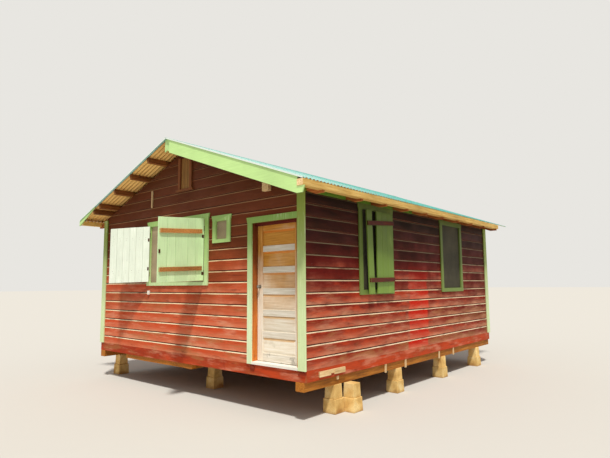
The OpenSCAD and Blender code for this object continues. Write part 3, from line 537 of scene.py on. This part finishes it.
# what the roof takes off the gables: below the purlins, and a notch for the ridge board
gableCut = {
    "ridge": underPurlin - house["seat"], "inner": 0.026, "past": 0.5, "depth": 0.06, "top": 5.5,
    "notchHalf": 0.0255, "notchFoot": 4.2003, "notchTop": 5.4,
}
walls = {
    "front": {"place": onFront, "gable": True, "boards": frontBoards, "edge": "frontEdge",
            "windows": openings["front"], "others": [openings["door"], openings["vent"]],
            "nodes": ("front_siding", "front_siding_over_door", "front_siding_by_door",
                    "front_gable_siding")},
    "back": {"place": onBack, "gable": True, "boards": frontBoards, "edge": "frontEdge",
            "windows": openings["back"], "others": [], "nodes": ("back_siding", "back_gable_siding")},
    "right": {"place": onRight, "gable": False, "boards": sideBoards, "edge": "sideEdge",
            "windows": openings["side"], "others": [], "nodes": ("right_siding",)},
    "left": {"place": onLeft, "gable": False, "boards": sideBoards, "edge": "sideEdge",
            "windows": openings["side"], "others": [], "nodes": ("left_siding",)},
}


def boardRings(start, end, low, high, rnd):
    # outlines along one board: its face, bare bevel, lap and back, a little wavy as sawn
    out = rnd.uniform(0.0, siding["proud"])
    steps = max(1, round((end - start) / siding["ringStep"]))
    key = rnd.uniform(0, 99)
    foot, head, back = low + siding["laid"], high - siding["laid"], house["siding"]
    rings = []
    for i in range(steps + 1):
        a = start + (end - start) * i / steps
        wave = noise.noise(Vector((a * 1.3, key, 0.0))) * siding["waver"]
        sink = out + abs(noise.noise(Vector((a * 0.9, key, 7.0)))) * siding["cupped"]
        rings.append([(a, sink, foot), (a, sink, high - siding["bevelHeight"] + wave),
                (a, siding["bevelDepth"], high - siding["lapHeight"] + wave),
                (a, siding["lapDepth"], head), (a, back, head), (a, back, foot)])
    return rings


def jointPlaces(start, end, rnd):
    places = [start]
    while end - places[-1] > siding["longest"]:
        places.append(places[-1] + rnd.uniform(siding["shortest"], siding["longest"]))
    if len(places) > 1 and end - places[-1] < siding["stub"]:
        places.pop()
    return places + [end]


def grown(hole):
    m = house["lining"]
    return (hole[0] - m, hole[1] - m, hole[2] + m, hole[3] + m)


def buildWall(side, seed):
    wall = walls[side]
    place = wall["place"]
    rnd = random.Random(siding["seed"] + seed)
    bm = bmesh.new()
    start, end, top = house["siding"], house["depth"] - house["siding"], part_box("right_siding")[1].z
    if wall["gable"]:
        start, end, top = -half, half, siding["gableTop"]
    low, (high, step) = house["sidingBottom"], wall["boards"]
    while low < top - 0.01:
        high = min(high, top)
        joints = jointPlaces(start, end, rnd)
        for a, b in zip(joints, joints[1:]):
            rings = boardRings(a + siding["butt"], b - siding["butt"], low, high, rnd)
            # the fourth side of each board, the recess under the lap above, takes the painted lap shade
            addRun(bm, place, rings, [0, 1, 3, 2, 2, 2])
        low, high = high, high + step
    piece = finishPiece(side + "-siding-boards", bm, [side + "Stain", wall["edge"], "boardBack", "paintedLapShade"],
            wall["nodes"])
    cutter = bmesh.new()
    for left, bottom, right, upper in [grown(h) for h in wall["windows"]] + wall["others"]:
        addBox(cutter, place, (left, -siding["cutDepth"], bottom), (right, siding["cutDepth"], upper))
    if wall["gable"]:
        cutGable(cutter, place)
    cutAway(piece, cutter)


def cutGable(cutter, place):
    ridge, inner, top = gableCut["ridge"], gableCut["inner"], gableCut["top"]
    outer = half + gableCut["past"]
    near, far = ridge - house["rise"] * inner, ridge - house["rise"] * outer
    for s in (-1, 1):
        rings = [[(s * inner, d, near), (s * outer, d, far), (s * outer, d, top), (s * inner, d, top)]
                 for d in (-gableCut["depth"], gableCut["depth"])]
        addRun(cutter, place, rings, [0])
    addBox(cutter, place, (-gableCut["notchHalf"], -siding["cutDepth"], gableCut["notchFoot"]),
           (gableCut["notchHalf"], siding["cutDepth"], gableCut["notchTop"]))


for seed, side in enumerate(walls, 1):
    buildWall(side, seed)
print("siding boards built")


nails = {
    "radius": 0.0042, "height": 0.0012, "depth": 0.0014, "studs": 0.62, "inset": 0.16, "lift": 0.03,
    "acrossDrift": 0.006, "heightDrift": 0.004, "clear": 0.13, "gableTop": 4.2, "eaveTop": 3.1,
    "underRoof": 0.06, "seed": 11,
}


def nailHead(bm, place, a, d, z, radius, height):
    turns = [k * pi / 3 for k in range(6)]
    rim = [bm.verts.new(place(a + radius * cos(t), d, z + radius * sin(t))) for t in turns]
    tip = bm.verts.new(place(a, d - height, z))
    for k in range(6):
        bm.faces.new((rim[k], rim[(k + 1) % 6], tip))
    bm.faces.new(rim)


def clearOf(a, z, holes):
    m = nails["clear"]
    return all(not (h[0] - m < a < h[2] + m and h[1] - m < z < h[3] + m) for h in holes)


def nailWall(side):
    wall = walls[side]
    rnd = random.Random(nails["seed"])
    bm = bmesh.new()
    start, end, top = nails["inset"], house["depth"] - nails["inset"], nails["eaveTop"]
    if wall["gable"]:
        start, end, top = -half + nails["inset"], half - nails["inset"], nails["gableTop"]
    count = round((end - start) / nails["studs"])
    first, step = wall["boards"]
    z = first - step + nails["lift"]
    while z < top:
        for i in range(count + 1):
            a = start + (end - start) * i / count + rnd.uniform(-nails["acrossDrift"], nails["acrossDrift"])
            level = z + rnd.uniform(-nails["heightDrift"], nails["heightDrift"])
            if wall["gable"] and level >= underPurlin - house["rise"] * abs(a) - nails["underRoof"]:
                continue
            if level > house["sidingBottom"] + 0.01 and clearOf(a, level, wall["windows"] + wall["others"]):
                nailHead(bm, wall["place"], a, nails["depth"], level, nails["radius"], nails["height"])
        z += step
    finishPiece(side + "-nails", bm, ["nail"])


for side in walls:
    nailWall(side)
print("nails set")


easing = {"weld": 0.00005, "flat": radians(0.5), "sharp": 0.6, "segments": 2}
# nodes that get eased edges, with their finish and the width of the easing
eased = {
    "floor_beams": ("timberY", 0.004), "splice_plank": ("paleWood", 0.002),
    "beam_cleats": ("paleCleat", 0.002), "corner_boards": ("mintUpright", 0.0025),
    "front_window_frames": ("mintWindow", 0.0025), "side_window_frames": ("mintSide", 0.0025),
    "back_window_frame": ("mintWindow", 0.0025), "door_frame": ("jamb", 0.003),
    "door_trim": ("mintTrim", 0.0025), "threshold": ("whitePaint", 0.003),
    "gable_beam_end": ("paleWood", 0.004), "wall_stick": ("paleCleat", 0.002),
    "rafters": ("rafterTimber", 0.003), "ridge_board": ("timberY", 0.003),
    "barge_boards": ("mintLevel", 0.0025), "frieze_board": ("frieze", 0.0025),
}
# nodes that show as they are
plain = {
    "floor_joists": "timberX", "wall_plates": "timberX", "wall_studs": "timberZ", "wall_rails": "timberY",
    "floor_boards": "timberY", "shutter_hinges": "hinge", "hinge_plates": "hinge",
    "door_knobs": "knob", "door_hinges": "hinge", "ridge_cap": "roofTop",
}


def softenedNode(node, materials, bevel, pick=None):
    # a node's own solids with eased edges, in place of the sharp ones; pick chooses a face's finish
    bm = bmesh.new()
    bm.from_mesh(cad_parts[node].data)
    bmesh.ops.remove_doubles(bm, verts=bm.verts, dist=easing["weld"])
    bmesh.ops.dissolve_limit(bm, angle_limit=easing["flat"], verts=bm.verts, edges=bm.edges)
    sharp = [e for e in bm.edges if len(e.link_faces) == 2 and e.calc_face_angle(0.0) > easing["sharp"]]
    if bevel:
        bmesh.ops.bevel(bm, geom=sharp, offset=bevel, segments=easing["segments"], affect="EDGES",
                clamp_overlap=True, profile=0.6)
    if pick:
        for face in bm.faces:
            face.material_index = pick(face.calc_center_median(), face.normal)
    finishPiece(node.replace("_", "-"), bm, materials, (node,))


def purlinFinish(centre, normal):
    # the stout eave purlins are paler than the others, which are painted darker as shade under the sheets,
    # and their sawn ends are paler still as painted sunlight
    if abs(centre.x) < half + 0.15:
        return 0
    return 2 if abs(normal.y) > 0.9 else 1


for node, (material, bevel) in eased.items():
    softenedNode(node, [material], bevel)
softenedNode("skirt_boards", ["skirtStain", "skirtSide"], 0.003,
        lambda c, n: int(abs(c.x) > half - 0.03 and abs(n.y) < 0.9))
softenedNode("purlins", ["purlinTimber", "eaveTimber", "paleWood"], 0.003, purlinFinish)
softenedNode("window_screens", ["sunnyScreen", "shadyScreen"], 0.0, lambda c, n: int(c.y >= frontY + 0.2))
for node, material in plain.items():
    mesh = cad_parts[node].data
    mesh.materials.clear()
    mesh.materials.append(finishes[material])
print("timbers finished")


pier = {
    "foot": 0.230, "step": 0.040, "taper": 0.015, "height": 0.403, "bevel": 0.007, "rough": 0.0035,
    "rows": 4, "firstRight": 0.735, "firstLeft": 0.412, "halfBeam": 0.075, "spareOut": 0.165,
    "longEdge": 0.05, "cuts": 5,
}


def pierRows(first):
    return [first + i * (house["depth"] - 2 * first) / (pier["rows"] - 1) for i in range(pier["rows"])]


def buildPiers():
    # two worn cast blocks on each other at every place; the last place is the loose pair
    beamX = half - house["skirt"] - pier["halfBeam"]
    places = []
    for y, leftY in zip(pierRows(pier["firstRight"]), pierRows(pier["firstLeft"])):
        places += [(0.0, y), (beamX, y), (-beamX, leftY)]
    places.append((beamX + pier["spareOut"], pier["firstRight"] + pier["foot"] + house["seat"]))
    bm = bmesh.new()
    tier = pier["height"] / 2
    for x, y in places:
        for k in (0, 1):
            foot = (pier["foot"] - k * pier["step"]) / 2
            top = foot - pier["taper"] / 2
            for v in addBox(bm, asIs, (-1, -1, 0), (1, 1, 1)):
                r = top if v.co.z > 0.5 else foot
                v.co = Vector((x + v.co.x * r, frontY + y + v.co.y * r, (k + v.co.z) * tier))
    bmesh.ops.bevel(bm, geom=list(bm.edges), offset=pier["bevel"], segments=2, affect="EDGES", profile=0.5)
    longEdges = [e for e in bm.edges if e.calc_length() > pier["longEdge"]]
    bmesh.ops.subdivide_edges(bm, edges=longEdges, cuts=pier["cuts"], use_grid_fill=True)
    for v in bm.verts:
        dent = abs(noise.noise(v.co * 13.0)) * pier["rough"]
        dent += abs(noise.noise(v.co * 41.0)) * pier["rough"] * 0.5
        near = min(places, key=lambda p: (p[0] - v.co.x) ** 2 + (p[1] + frontY - v.co.y) ** 2)
        inward = Vector((near[0] - v.co.x, near[1] + frontY - v.co.y, 0.0))
        if inward.length > 0.02:
            v.co += inward.normalized() * dent
    finishPiece("pier-blocks", bm, ["concrete"], ("piers",))


buildPiers()
print("piers cast")


roof = {
    "waveDepth": 0.016, "waves": 101, "perSheet": 10, "lap": 1, "samples": 10, "rows": 5, "thickness": 0.0009,
    "start": 0.008, "ragged": 0.008, "skewDown": 0.002, "skewUp": 0.0005, "overlap": 0.0012,
    "paintedWave": 0.6, "lip": 0.021, "lipOut": 0.0012, "lipIn": 0.0002, "lipRows": 6, "seed": 21,
    "screwRadius": 0.006, "screwHeight": 0.005, "screwSink": 0.001, "screwOff": 0.004, "screwEvery": 3,
    "screwLines": (0.618, 1.198, 1.778, 2.358, 2.600, 3.08),
}
waveLength = (house["depth"] + house["vergeFront"] + house["vergeBack"]) / roof["waves"]


def onSlope(side, s, y, n):
    # s goes down the slope from the ridge, y back from the front verge, n down into the roof
    return Vector((side * (s * cos(slope) - n * sin(slope)), frontY - house["vergeFront"] + y,
            house["ridge"] - s * sin(slope) - n * cos(slope)))


def sheetRows(bm, place, first, count, end, skew):
    # the points of one sheet's upper and lower skin, row by row down the slope
    top, under = [], []
    for r in range(roof["rows"] + 1):
        s = roof["start"] + (end - roof["start"]) * r / roof["rows"]
        topRow, underRow = [], []
        for i in range(count + 1):
            y = (first + i / roof["samples"]) * waveLength
            n = roof["waveDepth"] / 2 * (1 - cos(2 * pi * y / waveLength))
            n += roof["overlap"] * i / count
            sEdge = s + skew * (i / count) if r == roof["rows"] else s
            topRow.append(bm.verts.new(place(sEdge, y, n)))
            underRow.append(bm.verts.new(place(sEdge, y, n + roof["thickness"])))
        top.append(topRow)
        under.append(underRow)
    return top, under


def buildRoof(side, name, node):
    rnd = random.Random(roof["seed"] + side)
    length = (half + house["eave"]) / cos(slope)
    bm = bmesh.new()

    def place(s, y, n):
        return onSlope(side, s, y, n)

    first = 0
    while first < roof["waves"]:
        last = min(first + roof["perSheet"] + roof["lap"], roof["waves"])
        if roof["waves"] - last < 3:
            last = roof["waves"]
        count = (last - first) * roof["samples"]
        end = length - rnd.uniform(0.001, roof["ragged"])
        skew = rnd.uniform(-roof["skewDown"], roof["skewUp"])
        top, under = sheetRows(bm, place, first, count, end, skew)
        for skin, index in ((top, 0), (under, 1)):
            for r in range(roof["rows"]):
                for i in range(count):
                    face = bm.faces.new((skin[r][i], skin[r][i + 1], skin[r + 1][i + 1], skin[r + 1][i]))
                    face.material_index = index if first or i > roof["samples"] * roof["paintedWave"] else 0
                    face.smooth = True
        for i in range(count):
            for r in (0, roof["rows"]):
                bm.faces.new((top[r][i], top[r][i + 1], under[r][i + 1], under[r][i]))
        for r in range(roof["rows"]):
            for i in (0, count):
                bm.faces.new((top[r][i], top[r + 1][i], under[r + 1][i], under[r][i]))
        if last == roof["waves"]:
            break
        first = last - roof["lap"]
    # the outer edge of the first sheet is turned down over the verge
    lipEnd, outer, inner, foot = length - roof["ragged"], -roof["lipOut"], -roof["lipIn"], roof["lip"]
    rings = []
    for r in range(roof["lipRows"] + 1):
        s = roof["start"] + (lipEnd - roof["start"]) * r / roof["lipRows"]
        rings.append([(s, outer, 0.0), (s, inner, 0.0), (s, inner, foot), (s, outer, foot)])
    # its near-white finish is a painted highlight
    addRun(bm, place, rings, [2])
    finishPiece(name, bm, ["roofTop", "roofUnderBounce", "roofLipGlare"], (node,))


def roofScrews():
    bm = bmesh.new()
    for side in (-1, 1):
        for x in roof["screwLines"]:
            for k in range(0, roof["waves"], roof["screwEvery"]):

                def place(a, d, b):
                    return onSlope(side, x / cos(slope) + b, k * waveLength + a + roof["screwOff"], d)
                nailHead(bm, place, 0.0, roof["screwSink"], 0.0, roof["screwRadius"], roof["screwHeight"])
    finishPiece("roof-screws", bm, ["nail"])


buildRoof(1, "roof-sheets-right", "roof_right")
buildRoof(-1, "roof-sheets-left", "roof_left")
roofScrews()
print("roof sheeted")


shutter = {
    "width": 1.627 / 2 - 0.0075, "bottom": 1.897, "height": 1.035, "plank": 0.022, "batten": 0.025,
    "battenHeight": 0.074, "battens": (0.16, 0.75), "battenFrom": 0.040, "battenTo": 0.018,
    "hingeOut": 0.0053, "start": 0.001, "gap": 0.0035, "uneven": 0.0012, "ragged": 0.003, "bevel": 0.0016,
    "nailRadius": 0.004, "nailHeight": 0.0012, "nailLift": 0.018, "nailDrift": 0.01, "nailIn": 0.02,
    "off": 0.0002, "ironBevel": 0.0006, "seed": 31,
}
# the front window's leaves: hinge line, opening angle, hand, paint, drop at the free edge, planks' shares
leaves = {
    "left": {"x": -1.017, "angle": 150, "hand": 1, "paint": "paleLeaf", "sag": 0.028,
            "planks": (0.165, 0.175, 0.16, 0.17, 0.155, 0.175)},
    "right": {"x": 0.610, "angle": 83, "hand": -1, "paint": "mintLeaf", "sag": 0.044,
            "planks": (0.18, 0.18, 0.27, 0.18, 0.19)},
}
leafOuter, leafInner = shutter["hingeOut"], shutter["hingeOut"] + shutter["plank"]
# plate hinges at the left leaf's edge, straps on the right leaf and a catch on its free edge
ironwork = {
    "left": [((0.002, leafInner, 2.12), (0.030, leafInner + 0.0025, 2.18)),
            ((0.002, leafInner, 2.66), (0.030, leafInner + 0.0025, 2.72))],
    "right": [((0.004, leafOuter - 0.0026, 2.004), (0.038, leafOuter - 0.0001, 2.056)),
            ((0.004, leafOuter - 0.0026, 2.62), (0.038, leafOuter - 0.0001, 2.672)),
            ((0.770, leafOuter - 0.009, 2.34), (0.798, leafOuter - 0.0001, 2.40))],
}


def leafPlace(leaf):
    # a counts from the hinge line along the leaf, d through it
    turn = radians(leaf["angle"])
    y = frontY - house["trim"] - shutter["hingeOut"]

    def place(a, d, z):
        return Vector((leaf["x"] + leaf["hand"] * (a * cos(turn) + d * sin(turn)),
                y - a * sin(turn) + d * cos(turn), z))
    return place


def frontShutter(hand):
    # a ledged leaf of planks that has dropped a little at its free edge
    leaf, width = leaves[hand], shutter["width"]
    rnd = random.Random(shutter["seed"] + leaf["angle"])
    level = leafPlace(leaf)

    def place(a, d, z):
        return level(a, d, z + leaf["sag"] * (0.5 * width - a))

    def behind(a, d, z):
        return place(a, 2 * leafInner - d, z)

    bm = bmesh.new()
    z0, z1 = shutter["bottom"], shutter["bottom"] + shutter["height"]
    a = shutter["start"]
    middles = []
    for i, share in enumerate(leaf["planks"]):
        plank = share * width
        left = a + (shutter["gap"] / 2 if i else 0)
        right = a + plank - (shutter["gap"] / 2 if i < len(leaf["planks"]) - 1 else 0)
        low = (left, leafOuter + rnd.uniform(0.0, shutter["uneven"]), z0 + rnd.uniform(0, shutter["ragged"]))
        high = (right, leafInner - rnd.uniform(0.0, shutter["uneven"]),
                z1 - rnd.uniform(0, shutter["ragged"]))
        addBox(bm, place, low, high)
        middles.append(a + plank / 2)
        a += plank
    for share in shutter["battens"]:
        z = z0 + share * shutter["height"]
        low = (shutter["start"] + shutter["battenFrom"], leafOuter - shutter["batten"], z)
        high = (shutter["start"] + width - shutter["battenTo"], leafOuter - shutter["off"],
                z + shutter["battenHeight"])
        addBox(bm, place, low, high, 1)
    name = "front-shutter-" + hand + "-planks"
    finishPiece(name, bm, [leaf["paint"], "batten"], ("front_shutter_" + hand,),
            shutter["bevel"])
    dots = bmesh.new()
    size = (shutter["nailRadius"], shutter["nailHeight"])
    for share in shutter["battens"]:
        z = z0 + share * shutter["height"] + shutter["battenHeight"] / 2
        for a in middles:
            for lift in (-shutter["nailLift"], shutter["nailLift"]):
                spot = max(a, shutter["battenFrom"] + shutter["nailIn"])
                spot += rnd.uniform(-shutter["nailDrift"], shutter["nailDrift"])
                nailHead(dots, place, spot, leafOuter - shutter["batten"], z + lift, *size)
                nailHead(dots, behind, spot, leafInner, z + lift, *size)
    finishPiece(name + "-nails", dots, ["nail"])


def shutterIronwork():
    bm = bmesh.new()
    for hand, plates in ironwork.items():
        for low, high in plates:
            addBox(bm, leafPlace(leaves[hand]), low, high)
    finishPiece("shutter-ironwork", bm, ["hinge"], bevel=shutter["ironBevel"])


shutterIronwork()
frontShutter("left")
frontShutter("right")

ajar = {
    "hingeY": 1.402 + 0.845 + 0.048, "angle": 3, "bottom": 1.683, "height": 1.347,
    "planks": (0.19, 0.185, 0.18), "gapBefore": 0.001, "gapAfter": 0.002, "inner": 0.005, "gone": 0.150,
    "edge": 0.165, "lean": 2.4,
    "battens": ((0.142, 1.0), (0.855, 4.4)),  # height as a share of the leaf's, and slant in degrees
}


def buildSideShutter():
    # stands ajar, with one plank gone and the last one leaning on the slanted battens
    turn, lean = radians(ajar["angle"]), radians(ajar["lean"])
    x = half + house["trim"] + shutter["hingeOut"]
    y = frontY + ajar["hingeY"]

    def place(a, d, z):
        across = a * cos(turn) + d * sin(turn)
        out = -a * sin(turn) + d * cos(turn)
        return Vector((x - out, y - across, z))

    bm = bmesh.new()
    z0, h = ajar["bottom"], ajar["height"]
    inner, outer = ajar["inner"], ajar["inner"] - shutter["plank"]
    a = shutter["hingeOut"]
    for width in ajar["planks"]:
        addBox(bm, place, (a + ajar["gapBefore"], outer, z0), (a + width - ajar["gapAfter"], inner, z0 + h))
        a += width
    start = shutter["hingeOut"] + sum(ajar["planks"]) + ajar["gone"]

    def leaning(p, d, r):
        return place(start + p * cos(lean) + r * sin(lean), d,
                z0 + h - p * sin(lean) + r * cos(lean))

    addBox(bm, leaning, (0.0, outer, -h), (ajar["edge"], inner, 0.0))
    total = start + ajar["edge"] - shutter["hingeOut"]
    for share, slant in ajar["battens"]:
        z = share * h
        reach = total - (h - z) * tan(lean)
        tilt = radians(slant)

        def slanting(p, d, r):
            return place(shutter["hingeOut"] + p * cos(tilt) + r * sin(tilt), d,
                    z0 + z - p * sin(tilt) + r * cos(tilt))

        face = outer - house["seat"]
        addBox(bm, slanting, (0.0, face - shutter["batten"], 0.0), (reach, face, shutter["battenHeight"]), 1)
    finishPiece("side-shutter-planks", bm, ["sideLeaf", "sideBatten"], ("side_shutter",),
            shutter["bevel"])


buildSideShutter()
print("shutters hung")


door = {
    "stile": 0.110, "rail": 0.096, "endRail": 0.118, "panels": 6, "recess": 0.012, "field": 0.032,
    "raise": 0.007, "groove": 0.006, "gap": 0.0006, "railSink": 0.0005, "edge": 0.004,
}


def buildDoor():
    # stiles and rails with eased edges, and raised panels set back on both sides
    low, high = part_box("door_leaf")
    bm = bmesh.new()
    panelWest, panelEast = low.x + door["stile"], high.x - door["stile"]
    step = (high.z - low.z - 2 * door["endRail"] - (door["panels"] - 1) * door["rail"]) / door["panels"]
    addBox(bm, asIs, (low.x, low.y, low.z), (panelWest, high.y, high.z))
    addBox(bm, asIs, (panelEast, low.y, low.z), (high.x, high.y, high.z))
    z = low.z
    for i in range(door["panels"] + 1):
        tall = door["endRail"] if i in (0, door["panels"]) else door["rail"]
        addBox(bm, asIs, (panelWest + door["gap"], low.y + door["railSink"], z),
               (panelEast - door["gap"], high.y - door["railSink"], z + tall), 1)
        z += tall + step
    bmesh.ops.bevel(bm, geom=list(bm.edges), offset=door["edge"], segments=2, affect="EDGES", profile=0.5)
    left, right = panelWest - door["edge"], panelEast + door["edge"]
    recess = door["recess"]
    profile = ((0.0, recess), (door["groove"], recess),
            (door["field"] + door["edge"], recess - door["raise"]))
    z = low.z + door["endRail"]
    for i in range(door["panels"]):
        bottom, top = z - door["edge"], z + step + door["edge"]
        front = [[(left + k, low.y + t, bottom + k), (right - k, low.y + t, bottom + k),
                (right - k, low.y + t, top - k), (left + k, low.y + t, top - k)] for k, t in profile]
        back = [[(p[0], high.y - (p[1] - low.y), p[2]) for p in ring] for ring in front]
        addRun(bm, asIs, list(reversed(front)) + back, [2, 2, 3, 2], 2)
        z += step + door["rail"]
    finishPiece("door-leaf-panels", bm, ["doorStile", "doorRail", "doorPanel", "doorBevel"], ("door_leaf",),
            body="door")


# small blocks on the front wall: finish, easing, and the low and high corners of each
blocks = {
    # the door's head stop, dark as painted shade under the head
    "door-head-stop": ("headStop", 0.002, [((1.7620, 0.060, 2.724), (2.6460, 0.092, 2.7655))]),
    "skirt-blocks": ("skirtBlock", 0.0015, [
        ((half - 1.071, -0.009, 0.590), (half - 0.985, -house["seat"], 0.664)),
        ((half - 0.124, -0.009, 0.602), (half - 0.001, -house["seat"], 0.666))]),
    "shutter-stay-block": ("whitePaint", 0.004, [((-1.062, -0.034, 1.672), (-1.012, -house["seat"], 1.742))]),
}


def frontBlocks():
    for name, (finish, bevel, boxes) in blocks.items():
        bm = bmesh.new()
        for low, high in boxes:
            addBox(bm, onFront, low, high)
        finishPiece(name, bm, [finish], bevel=bevel)


buildDoor()
frontBlocks()
print("door panelled")


vent = {
    "boards": 3, "gap": 0.001, "uneven": 0.002, "laid": 0.0005, "back": 0.0215, "frame": 0.060,
    "frameOut": 0.030, "halfSill": 0.240, "sillOut": 0.045, "sillHeight": 0.040, "off": 0.0002,
    "bevel": 0.0022, "seed": 3,
}


def buildVent():
    left, bottom, right, top = openings["vent"]
    bm = bmesh.new()
    width = (right - left) / vent["boards"]
    rnd = random.Random(vent["seed"])
    for i in range(vent["boards"]):
        face = rnd.uniform(0.0, vent["uneven"])
        addBox(bm, onFront, (left + i * width + vent["gap"], face, bottom + vent["laid"]),
               (left + (i + 1) * width - vent["gap"], vent["back"], top - vent["laid"]))
    for a in (left - vent["frame"], right):
        addBox(bm, onFront, (a, -vent["frameOut"], bottom), (a + vent["frame"], -vent["off"], top), 1)
    middle = (left + right) / 2
    addBox(bm, onFront, (middle - vent["halfSill"], -vent["sillOut"], bottom - vent["sillHeight"]),
           (middle + vent["halfSill"], -vent["off"], bottom), 1)
    finishPiece("gable-vent-boards", bm, ["ventWood", "ventFrame"], ("gable_vent",),
            vent["bevel"])


buildVent()
print("vent boarded")


studio = {
    "floor": (204, 201, 195), "floorSize": 400, "backdrop": (232, 230, 225), "sky": 0.5,
    "skyColour": (1.0, 0.985, 0.96, 1.0), "sunColour": (1.0, 0.965, 0.90), "sunStrength": 3.3,
    "sunSoftness": 5, "sunTurn": 43, "sunHeight": 63,
}


def buildFloor():
    bpy.ops.mesh.primitive_plane_add(size=studio["floorSize"], location=(0, 0, 0))
    floor = bpy.context.object
    floor.name = "studio-floor"
    startMaterial("studioFloor", 0.95, 0.0, 0.0)
    making["shader"]["Base Color"].default_value = tone(studio["floor"])
    floor.data.materials.append(finishes["studioFloor"])


def buildWorld():
    # soft light on the house, and a pale backdrop for the camera, for gloss and through glass
    world = bpy.data.worlds.new("studio")
    bpy.context.scene.world = world
    world.use_nodes = True
    making["tree"] = world.node_tree
    making["tree"].nodes.clear()
    path = addNode("LightPath").outputs
    seen = maths("MAXIMUM", path["Is Glossy Ray"], path["Is Transmission Ray"])
    seen = maths("MAXIMUM", path["Is Camera Ray"], seen)
    soft = addNode("Background", {"Color": studio["skyColour"], "Strength": studio["sky"]})
    pale = addNode("Background", {"Color": tone(studio["backdrop"]), "Strength": 1.0})
    mixed = addNode("MixShader", {0: seen, 1: soft.outputs[0], 2: pale.outputs[0]})
    addNode("OutputWorld", {"Surface": mixed.outputs[0]})


def buildSun():
    sun = bpy.data.lights.new("keyLight", "SUN")
    sun.energy = studio["sunStrength"]
    sun.angle = radians(studio["sunSoftness"])
    sun.color = studio["sunColour"]
    lamp = addObject("key-light", sun)
    turn, rise = radians(studio["sunTurn"]), radians(studio["sunHeight"])
    toSun = Vector((cos(rise) * sin(turn), -cos(rise) * cos(turn), sin(rise)))
    lamp.rotation_euler = toSun.to_track_quat("Z", "Y").to_euler()


view = {
    "lens": 28.75, "sensor": 36.0, "place": (7.1532, frontY - 5.0618, 1.8388),
    "turn": 40.653, "tilt": 6.481, "roll": -0.432,
}


def buildCamera():
    data = bpy.data.cameras.new("camera")
    data.lens = view["lens"]
    data.sensor_width = view["sensor"]
    data.sensor_fit = "HORIZONTAL"
    camera = addObject("camera", data)
    camera.matrix_world = (Matrix.Translation(view["place"])
            @ Matrix.Rotation(radians(view["turn"]), 4, "Z")
            @ Matrix.Rotation(radians(90 + view["tilt"]), 4, "X")
            @ Matrix.Rotation(radians(view["roll"]), 4, "Z"))
    bpy.context.scene.camera = camera


buildFloor()
buildWorld()
buildSun()
buildCamera()
bpy.context.scene.view_settings.view_transform = "Standard"
print("studio ready")
